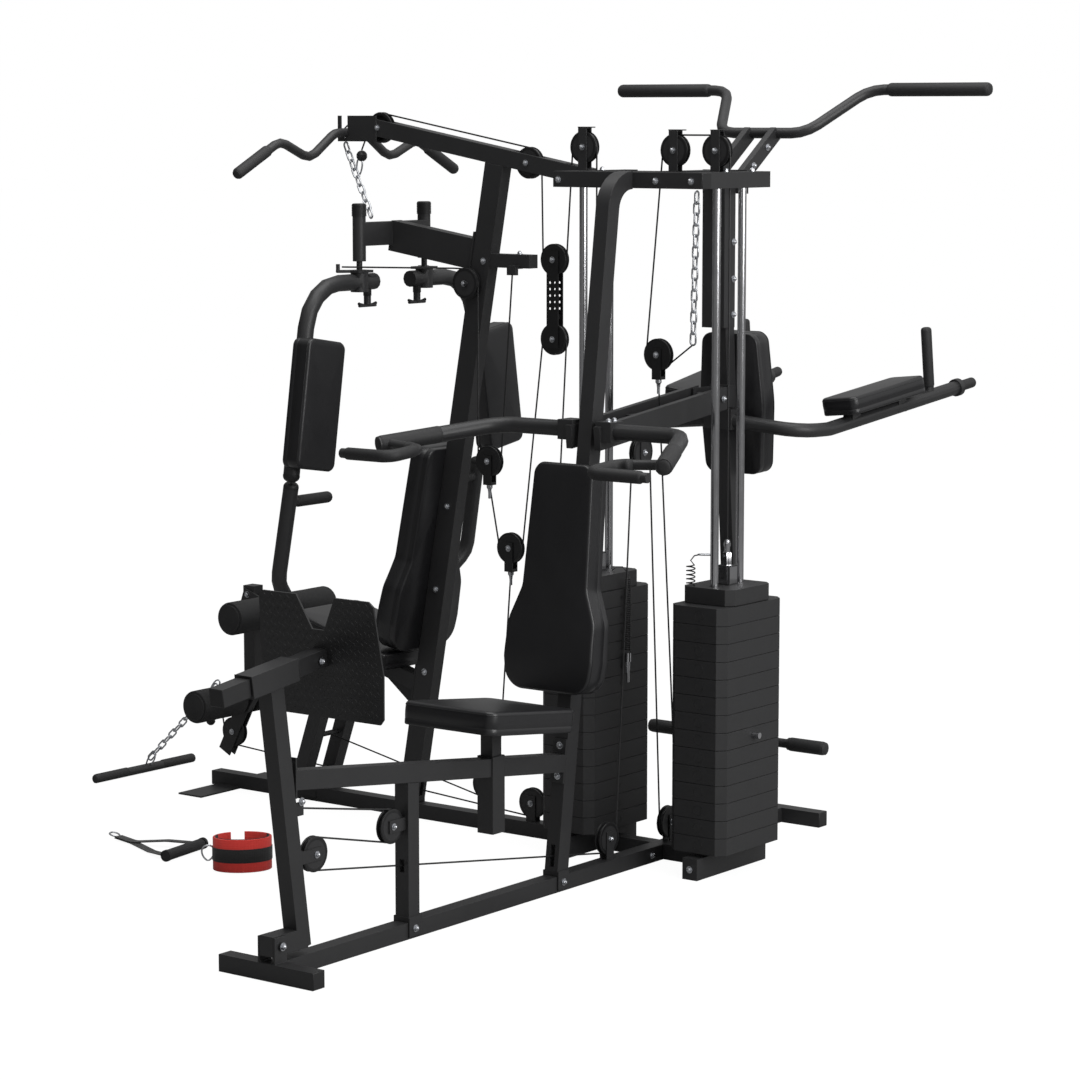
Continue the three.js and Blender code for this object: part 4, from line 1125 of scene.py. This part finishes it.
@dataclass
class LooseFittings:
    """Chains, hooks, coils and stops."""

    def build(self, shop: Workshop) -> None:
        """Makes the small loose metalwork."""
        Chain("upper_chain", "frame", [(-12, -119.6, 1936), (-12, -109, 1506)]).build(shop)
        Chain("lat_chain", "frame",
            [(-4, 1190, 2066), (-14, 1148, 1990), (-60, 1040, 1846)]).build(shop)
        Chain("row_chain", "frame", [(0, 2064, 44), (0, 1757, 322)]).build(shop)
        SnapHook("lat_hook", "frame", (-6, 1178, 2108), 62, 26, (0.0, -0.9, 0.6),
            (1.0, 0.0, 0.0)).build(shop)
        SnapHook("lat_stop_hook", "frame", (-4, 1134, 1996), 52, 26, (0, -0.1, 1),
            (1, 0, 0)).build(shop)
        SnapHook("row_hook", "frame", (0, 1766, 318), 56, 26, (0, -0.7, 0.7), (1, 0, 0)).build(shop)
        SnapHook("row_bar_hook", "frame", (-6, 2054, 40), 58, 28, (0, -0.5, 0.6),
            (1, 0, 0)).build(shop)
        bm = bmesh.new()
        for x, y, z, r in ((0, 1128, 2028, 17), (0, 1786, 202, 15)):
            ball = [(0, -r)] + [(r * math.cos(a), r * math.sin(a)) for a in (-1.2, -0.8, -0.4,
                -0.1)]
            ball += [(r * 0.9, 0)] + [(r * math.cos(a), r * math.sin(a)) for a in (0.1, 0.4, 0.8,
                1.2)] + [(0, r)]
            turn_profile(bm, ball, shop.plan.at(x, y, z), Vector((0, 0, 1)), 24)
        shop.mesh("cable_stops", bm, END_CAP, "frame", (), 50)
        Coil("right_coil", "right_lift", (-102, -168, 829), (-102, -168, 888), 5, 12, 1.9,
             [(-100, -166, 900), (-96, -176, 914), (-88, -184, 916)]).build(shop)
        SnapHook("right_coil_ring", "right_lift", (-74, -204, 917), 50, 20, (0.6, -0.8, 0.0),
            (0, 0, 1)).build(shop)
        Coil("left_coil", "frame", (4, 126, 598), (4, 126, 812), 34, 8, 1.5,
             [(4, 130, 830), (4, 146, 844), (6, 170, 842), (8, 186, 830)]).build(shop)
        SnapHook("left_pin_ring", "left_pin", (4, 125, 556), 62, 15, (0, 0, 1),
            (0, 1, 0)).build(shop)
        for sign, name in ((-1, "right"), (1, "left")):
            self.stem_head(shop, sign, name)

    def stem_head(self, shop: Workshop, sign: int, name: str) -> None:
        """Sets the bright cable socket on one stack's stem.

        Args:
            shop: Makes the piece.
            sign: -1 for the right stack and 1 for the left one.
            name: Which stack it is.
        """
        y, top = sign * STACK_Y, STACK_TOP
        bm = bmesh.new()
        add_box(bm, shop.plan.at(-12, y, top + 28.2), (45, 45, 55.6))
        bmesh.ops.bevel(bm, geom=[e for e in bm.edges], offset=0.004, segments=2, affect="EDGES")
        hexagon = [(14.6, 53), (14.6, 88), (13, 91.5), (11, 92)]
        turn_profile(bm, [(0, 53), *hexagon, (0, 92)], shop.plan.at(-12, y, top), Vector((0, 0, 1)),
            6)
        neck = [(0, 90), (8.2, 90), (8.2, 108), (10.4, 109), (10.4, 118), (8.2, 119), (8.2, 124),
                (5, 128.6), (0, 128.8)]
        turn_profile(bm, neck, shop.plan.at(-12, y, top), Vector((0, 0, 1)), 20)
        shop.mesh(f"stem_head_{name}", bm, CHROME, f"{name}_lift")


@dataclass
class Trim:
    """End caps, tread marks, ribbed caps and pop-pin handles."""

    def build(self, shop: Workshop) -> None:
        """Makes the trim."""
        self.tread(shop)
        self.caps(shop)
        self.domes(shop)
        self.post_caps(shop)
        self.plate_marks(shop)

    def tread(self, shop: Workshop) -> None:
        """Raises small lozenges in two directions on the foot plate's face."""
        lean = Vector((-0.132, 0, 1)).normalized()
        side = Vector((0, -1, 0))
        out = side.cross(lean)
        origin = shop.plan.at(-1507.05, 0, 794)
        bm = bmesh.new()
        pitch = 13.0
        for i in range(-15, 16):
            for j in range(-12, 13):
                x, y = i * pitch, j * pitch + (pitch / 2 if i % 2 else 0)
                top = 160 - 6
                half = 203 - abs(y + 30) * (13 / 178 if y > -30 else 25 / 130) - 7
                notch = 20 + (y - 72) * 0.5 + 8
                if abs(x) > half or y > top or y < -154 or (y > 66 and abs(x) < notch):
                    continue
                if abs(x) < 27 and abs(y) < 30:
                    continue
                turn = math.radians(45 if (i + j) % 2 else -45)
                along = side * math.cos(turn) + lean * math.sin(turn)
                across = out.cross(along)
                centre = origin + (side * x + lean * y) * 0.001
                tips = [along * 5.6, across * 1.7, along * -5.6, across * -1.7]
                low = [bm.verts.new(centre + t * 0.001) for t in tips]
                high = [bm.verts.new(centre + (t * 0.62 + out * 0.9) * 0.001) for t in tips]
                bm.faces.new(high)
                for k in range(4):
                    bm.faces.new([low[k], low[(k + 1) % 4], high[(k + 1) % 4], high[k]])
        shop.mesh("tread_marks", bm, TREAD_STEEL, "foot", (), 20)

    def caps(self, shop: Workshop) -> None:
        """Plugs the open ends of the tubes."""
        spots = [("frame", (-1706.5, -157.7, 22.5), (43.5, 3.4, 43.5)),
            ("frame", (-1706.5, 157.7, 22.5), (43.5, 3.4, 43.5)),
                 ("frame", (631, -157.7, 22.5), (43.5, 3.4, 43.5)),
                     ("frame", (631, 157.7, 22.5), (43.5, 3.4, 43.5)),
                 ("frame", (0, 1764.2, 22.5), (43.5, 3.4, 43.5)),
                     ("frame", (-165.5, -256.2, 1971.5), (43.5, 3.4, 43.5)),
                 ("frame", (-165.5, 256.2, 1971.5), (43.5, 3.4, 43.5)),
                     ("frame", (160.4, -231, 1971.5), (3.4, 43.5, 43.5)),
                 ("frame", (160.4, 231, 1971.5), (3.4, 43.5, 43.5))]
        bm = bmesh.new()
        for _, centre, size in spots:
            add_box(bm, shop.plan.at(*centre), size)
        caps = shop.mesh("frame_tube_caps", bm, END_CAP, "frame")
        caps.modifiers.new("soft", "BEVEL").width = 0.0012
        slope = Matrix.Rotation(-math.atan(0.132), 3, "Y")
        bm = bmesh.new()
        add_box(bm, shop.plan.at(-1893, 0, 743.8), (4, 45.6, 45.6), slope)
        cap = shop.mesh("foot_beam_cap", bm, END_CAP, "foot")
        cap.modifiers.new("soft", "BEVEL").width = 0.0014
        bm = bmesh.new()
        for x in (-1793, -1621):
            add_box(bm, shop.plan.at(x, 0, 797 + 0.132 * (x + 1490)), (3, 59, 59), slope)
        lips = shop.mesh("lever_sleeve_lips", bm, END_CAP, "lever")
        hollow = lips.modifiers.new("soft", "BEVEL")
        hollow.width = 0.001

    def domes(self, shop: Workshop) -> None:
        """Rounds off the open ends of the bent arm tubes."""
        for sign, name in ((-1, "left"), (1, "right")):
            self.dome(shop, f"arm_end_{name}", f"butterfly_{name}",
                [((sign * 470, 1011, 1094), (sign * 0.162, 0, -1))], 25.2)
        tops = [((sign * 446, 1034, 1058), (-sign * 0.02, -0.17, 1)) for sign in (-1, 1)]
        self.dome(shop, "side_press_ends", "side_press", tops, 23.2)

    def dome(
        self, shop: Workshop, name: str, body: str, ends: Sequence[tuple[Point, Point]],
            radius: float
    ) -> None:
        """Makes plastic plugs with a domed head.

        Args:
            shop: Makes the piece.
            name: The piece's name.
            body: The body it moves with.
            ends: Where each plug sits and which way it points.
            radius: Radius of the tube.
        """
        bm = bmesh.new()
        heights = [(radius * math.cos(a), 1 + radius * 0.72 * math.sin(a)) for a in (0, 0.35, 0.7,
            1.05, 1.35)]
        for spot, way in ends:
            turn_profile(bm, [(0, -4), (radius, -4), *heights, (0, 1 + radius * 0.72)],
                shop.plan.at(*spot), Vector(way), 28)
        shop.mesh(name, bm, END_CAP, body, (), 50)

    def post_caps(self, shop: Workshop) -> None:
        """Makes the ribbed caps and T-handled pins of the butterfly posts."""
        bm = bmesh.new()
        for sign in (-1, 1):
            profile = [(0, 0)] + [(r, h) for k in range(7) for r,
                h in ((22.4, k * 5.0), (22.4, k * 5.0 + 3.2),
                       (21.2, k * 5.0 + 3.4), (21.2, k * 5.0 + 4.8))] + [(20.5, 36.5), (17, 38),
                           (0, 38)]
            turn_profile(bm, profile, shop.plan.at(sign * 154, 1010, 1851), Vector((0, 0, 1)), 28)
        shop.mesh("post_caps", bm, END_CAP, "frame", (), 40)
        for sign, name in ((-1, "left"), (1, "right")):
            bm = bmesh.new()
            top = shop.plan.at(sign * 118, 1010, 1630)
            turn_profile(bm, [(0, 2), (12.5, 2), (12.5, -18), (10.5, -20), (10.5, -36), (0, -36)],
                top,
                         Vector((0, 0, 1)), 20)
            for k in range(14):
                a, b = k / 14, (k + 1) / 14
                spots = []
                for share in (a, b):
                    x = (share - 0.5) * 84
                    spots.append(shop.plan.at(sign * 118 + x, 1010, 1582 + (abs(x) / 42) ** 2 * 7))
                sweep_sleeve(bm, spots, 4.6)
            shop.mesh(f"pop_pin_{name}", bm, END_CAP, f"butterfly_{name}", (), 50)

    def plate_marks(self, shop: Workshop) -> None:
        """Adds a dark disc on each left stack plate as painted shade for its pin hole, and the cast ring on
        each weight plate.
        """
        hole_shade = bmesh.new()
        rings = bmesh.new()
        lifted = bmesh.new()
        for side in (-1, 1):
            for i in range(14):
                z = STACK_Z + (i + 0.5) * PLATE_PITCH - 0.8
                if side > 0:
                    # Painted shade: each pin hole is a thin dark nylon disc on the plate face, not a cut
                    # hole; its darkness stands for the shade inside the hole.
                    turn_profile(hole_shade, [(0, 0), (5.6, 0), (5.6, 0.7), (0, 0.7)],
                                 shop.plan.at(-12, side * 231 - 94, z), Vector((0, -1, 0)), 16)
                target = lifted if side < 0 and i >= 6 else rings
                turn_profile(target, [(15.5, -0.2), (15.5, 0.5), (14.2, 0.5), (14.2, -0.2)],
                             shop.plan.at(-168.5, side * 231 - 11, z), Vector((-1, 0, 0)), 24)
        shop.mesh("left_plate_hole_shade", hole_shade, NYLON, "frame")
        shop.mesh("plate_rings", rings, PLATE_PAINT, "frame")
        shop.mesh("lifted_plate_rings", lifted, PLATE_PAINT, "right_lift")


@dataclass
class LoosePieces:
    """The strap handle and the ankle strap on the floor."""

    def build(self, shop: Workshop) -> None:
        """Makes both pieces."""
        self.strap_handle(shop)
        self.ankle_strap(shop)

    def strap_handle(self, shop: Workshop) -> None:
        """Lays two webbing legs that meet at one end, and adds the grip and ring."""
        bm = bmesh.new()
        legs = [[(-799, 1424, 12), (-816, 1342, 9), (-780, 1240, 20), (-742, 1146, 18)],
                [(-799, 1424, 8), (-816, 1342, 6), (-868, 1220, 6), (-908, 1120, 16)]]
        for leg in legs:
            points = rounded([shop.plan.at(*p) for p in leg], 60)
            ribbon(bm, points, 28, 2.4)
        strap = shop.mesh("handle_webbing", bm, WEBBING, "strap", ("strap_handle",), 50)
        Grips("handle_grip", "strap", [[(-918, 1112, 17.5), (-737, 1139, 17.5)]], 16.0).build(shop)
        bm = bmesh.new()
        for a, b in (((-924, 1111, 17.5), (-914, 1112.5, 17.5)),
            ((-741, 1138.5, 17.5), (-731, 1140, 17.5))):
            sweep_sleeve(bm, [shop.plan.at(*a), shop.plan.at(*b)], 17.2)
        shop.mesh("handle_grip_caps", bm, END_CAP, "strap", (), 60)
        SnapHook("handle_ring", "strap", (-796, 1440, 14), 34, 34, (-0.1, 1.0, 0.25),
            (0, -0.25, 1)).build(shop)

    def ankle_strap(self, shop: Workshop) -> None:
        """Stands the curled neoprene band up, with its webbing and ring."""
        def line(grow: float) -> list[Vector]:
            points = []
            for k in range(STRAP_STEPS + 1):
                angle = math.pi * (0.62 + 1.84 * k / STRAP_STEPS)
                u, v = (82 + grow) * math.cos(angle), (57 + grow) * math.sin(angle)
                points.append(Vector((0.72 * u + 0.694 * v, 0.72 * v - 0.694 * u)))
            return points
        bm = bmesh.new()
        wall(bm, shop, line(0), (-855, 872), 2.0, 98.0, 6.0)
        band = shop.mesh("ankle_band", bm, NEOPRENE, "ankle", ("ankle_strap",), 50)
        bm = bmesh.new()
        wall(bm, shop, line(3.9), (-855, 872), 30.0, 70.0, 1.8)
        shop.mesh("ankle_webbing", bm, WEBBING, "ankle", (), 50)
        bm = bmesh.new()
        wall(bm, shop, line(-4.4)[6:40], (-855, 872), 6.0, 99.0, 2.4)
        shop.mesh("ankle_lining", bm, WEBBING, "ankle", (), 50)
        SnapHook("ankle_ring", "ankle", (-922, 944, 50), 44, 44, (0, 0, 1),
            (0.69, 0.72, 0)).build(shop)


def ribbon(bm: bmesh.types.BMesh, points: Sequence[Vector], wide: float, thick: float) -> None:
    """Adds a flat strap that lies level across its width.

    Args:
        bm: The mesh being built.
        points: Its centreline in metres.
        wide: Width in millimetres.
        thick: Thickness in millimetres.
    """
    rings = []
    for i, spot in enumerate(points):
        ahead = points[min(i + 1, len(points) - 1)] - points[max(i - 1, 0)]
        across = Vector((ahead.y, -ahead.x, 0)).normalized() * wide * 0.0005
        rise = Vector((0, 0, thick * 0.0005))
        rings.append([bm.verts.new(spot + c) for c in (across + rise, -across + rise,
            -across - rise, across - rise)])
    for low, high in zip(rings, rings[1:]):
        for k in range(4):
            bm.faces.new([low[k], low[(k + 1) % 4], high[(k + 1) % 4], high[k]])
    bm.faces.new(list(reversed(rings[0])))
    bm.faces.new(rings[-1])


def wall(
    bm: bmesh.types.BMesh, shop: Workshop, line: Sequence[Vector], centre: tuple[float, float],
    low: float, high: float, thick: float,
) -> None:
    """Adds a standing strip that follows a line on the floor, with softened edges.

    Args:
        bm: The mesh being built.
        shop: Gives the plan.
        line: Centreline about its own centre, in millimetres.
        centre: Where that centre lies in the plan.
        low: Height of the lower edge.
        high: Height of the upper edge.
        thick: Thickness of the strip.
    """
    half, soft = thick / 2, min(thick / 2, 1.6)
    section = [(-half, low + soft), (-half + soft, low), (half - soft, low), (half, low + soft),
               (half, high - soft), (half - soft, high), (-half + soft, high), (-half, high - soft)]
    rings = []
    for i, spot in enumerate(line):
        ahead = line[min(i + 1, len(line) - 1)] - line[max(i - 1, 0)]
        out = Vector((ahead.y, -ahead.x)).normalized()
        rings.append([
            bm.verts.new(shop.plan.at(centre[0] + spot.x + out.x * a,
                centre[1] + spot.y + out.y * a, z))
            for a, z in section
        ])
    for near, far in zip(rings, rings[1:]):
        for k in range(8):
            bm.faces.new([near[k], near[(k + 1) % 8], far[(k + 1) % 8], far[k]])
    bm.faces.new(list(reversed(rings[0])))
    bm.faces.new(rings[-1])


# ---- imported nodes, studio and camera ---------------------------------------------------------


def smoothing_group() -> bpy.types.NodeTree:
    """Makes the modifier that shades round bars smooth and keeps tube corners crisp.

    Returns:
        The geometry node group.
    """
    tree = bpy.data.node_groups.new("crisp_corners", "GeometryNodeTree")
    tree.interface.new_socket("Geometry", in_out="INPUT", socket_type="NodeSocketGeometry")
    tree.interface.new_socket("Geometry", in_out="OUTPUT", socket_type="NodeSocketGeometry")
    entry = add_node(tree, "NodeGroupInput", {}, {})
    weld = add_node(tree, "GeometryNodeMergeByDistance", {},
        {"Geometry": entry.outputs[0], "Distance": 2e-5})
    smooth = add_node(
        tree, "GeometryNodeSetShadeSmooth", {"domain": "FACE"},
            {0: weld.outputs[0], "Shade Smooth": True}
    )
    angle = add_node(tree, "GeometryNodeInputMeshEdgeAngle", {}, {})
    sharp = add_node(
        tree, "FunctionNodeCompare", {"operation": "GREATER_THAN"},
            {0: angle.outputs[0], 1: math.radians(39)}
    )
    crisp = add_node(
        tree,
        "GeometryNodeSetShadeSmooth",
        {"domain": "EDGE"},
        {0: smooth.outputs[0], "Selection": sharp.outputs[0], "Shade Smooth": False},
    )
    add_node(tree, "NodeGroupOutput", {}, {0: crisp.outputs[0]})
    return tree


def dress_nodes(shop: Workshop, frame: dict[str, Any]) -> None:
    """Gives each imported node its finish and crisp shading.

    Args:
        shop: Builds the materials.
    """
    slots = {part["node"]: part["material_slot"] for part in frame["record"]["subparts"]}
    group = smoothing_group()
    for name, obj in frame["nodes"].items():
        custom = obj.data.attributes.get("custom_normal")
        if custom:
            obj.data.attributes.remove(custom)
        obj.data.materials.clear()
        obj.data.materials.append(shop.finish(NODE_FINISHES[slots[name]]))
        obj.modifiers.new("crisp_corners", "NODES").node_group = group
    LOG.info("dressed %d nodes", len(frame["nodes"]))


@dataclass
class Studio:
    """Pale floor, soft light from the front right and above, and the camera."""

    lens: float = 108.55
    yaw: float = 37.1407
    pitch: float = 7.4594
    eye: Point = (-7649.45, -5348.12, 2155.99)

    def build(self, plan: Plan) -> None:
        """Sets up the whole studio."""
        self.camera(plan)
        self.floor()
        self.sky()
        self.lamps(plan)

    def camera(self, plan: Plan) -> None:
        """Places the camera and makes it the scene's own."""
        data = bpy.data.cameras.new("camera")
        data.lens = self.lens
        data.sensor_width = 36
        camera = bpy.data.objects.new("camera", data)
        yaw, pitch = math.radians(self.yaw), math.radians(self.pitch)
        look = Vector((math.cos(yaw) * math.cos(pitch), math.sin(yaw) * math.cos(pitch),
            -math.sin(pitch)))
        camera.location = plan.at(*self.eye)
        camera.rotation_euler = look.to_track_quat("-Z", "Y").to_euler()
        bpy.context.scene.collection.objects.link(camera)
        bpy.context.scene.camera = camera

    def floor(self) -> None:
        """Lays a wide white floor that all but hides its own shadows."""
        bm = bmesh.new()
        bmesh.ops.create_grid(bm, x_segments=1, y_segments=1, size=60)
        data = bpy.data.meshes.new("studio_floor")
        bm.to_mesh(data)
        bm.free()
        material = bpy.data.materials.new("white_studio_paper")
        material.use_nodes = True
        tree = material.node_tree
        tree.nodes.clear()
        matt = add_node(tree, "ShaderNodeBsdfDiffuse", {}, {0: linear("#9a9a9a")})
        faint = add_node(tree, "ShaderNodeBsdfDiffuse", {}, {0: linear("#5c5c5c")})
        glow = add_node(tree, "ShaderNodeEmission", {}, {1: 0.95})
        lit = add_node(tree, "ShaderNodeAddShader", {}, {0: faint.outputs[0], 1: glow.outputs[0]})
        path = add_node(tree, "ShaderNodeLightPath", {}, {})
        both = add_node(tree, "ShaderNodeMixShader", {},
            {0: path.outputs[0], 1: matt.outputs[0], 2: lit.outputs[0]})
        add_node(tree, "ShaderNodeOutputMaterial", {}, {0: both.outputs[0]})
        data.materials.append(material)
        floor = bpy.data.objects.new("studio_floor", data)
        bpy.context.scene.collection.objects.link(floor)

    def sky(self) -> None:
        """Surrounds the machine with soft light: bright above and front right, dim on the left."""
        world = bpy.data.worlds.new("studio_light")
        bpy.context.scene.world = world
        world.use_nodes = True
        tree = world.node_tree
        tree.nodes.clear()
        ways = add_node(tree, "ShaderNodeTexCoord", {}, {}).outputs["Generated"]
        split = add_node(tree, "ShaderNodeSeparateXYZ", {}, {0: ways})
        right = add_node(tree, "ShaderNodeMath", {"operation": "MULTIPLY_ADD"},
            {0: split.outputs[1], 1: -0.26, 2: 0.30})
        both = add_node(tree, "ShaderNodeMath", {"operation": "MULTIPLY_ADD"},
            {0: split.outputs[0], 1: 0.14, 2: right.outputs[0]})
        above = add_node(tree, "ShaderNodeMath", {"operation": "MULTIPLY_ADD"},
            {0: split.outputs[2], 1: 0.26, 2: both.outputs[0]})
        light = add_node(tree, "ShaderNodeBackground", {}, {0: (1, 1, 1, 1), 1: above.outputs[0]})
        plain = add_node(tree, "ShaderNodeBackground", {}, {0: (1, 1, 1, 1), 1: 1.0})
        path = add_node(tree, "ShaderNodeLightPath", {}, {})
        mixed = add_node(tree, "ShaderNodeMixShader", {},
            {0: path.outputs[0], 1: light.outputs[0], 2: plain.outputs[0]})
        add_node(tree, "ShaderNodeOutputWorld", {}, {0: mixed.outputs[0]})

    def lamps(self, plan: Plan) -> None:
        """Hangs the two soft boxes."""
        for name, spot, size, power in (
            ("right_softbox", (-900, -5200, 3000), 3.2, 150.0),
            ("top_softbox", (-400, 0, 5200), 4.0, 110.0),
        ):
            data = bpy.data.lights.new(name, "AREA")
            data.size = size
            data.energy = power
            lamp = bpy.data.objects.new(name, data)
            lamp.location = plan.at(*spot)
            aim = plan.at(-100, 200, 1000) - lamp.location
            lamp.rotation_euler = aim.to_track_quat("-Z", "Y").to_euler()
            bpy.context.scene.collection.objects.link(lamp)
        scene = bpy.context.scene
        scene.view_settings.view_transform = "Standard"
        scene.view_settings.look = "None"


def main() -> None:
    """Builds the machine and its studio."""
    logging.basicConfig(level=logging.INFO, format="%(name)s: %(message)s")
    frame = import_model()
    plan = Plan.from_frame()
    Studio().build(plan)
    shop = Workshop(plan)
    dress_nodes(shop, frame)
    for part in (UpholsteryShop(), Pulleys(), BoltSets(), HandGrips(), LooseFittings(), Trim(),
        LoosePieces()):
        part.build(shop)
        LOG.info("%s built", type(part).__name__)
    LOG.info("%d pieces made", shop.made)


if __name__ == "__main__":
    main()
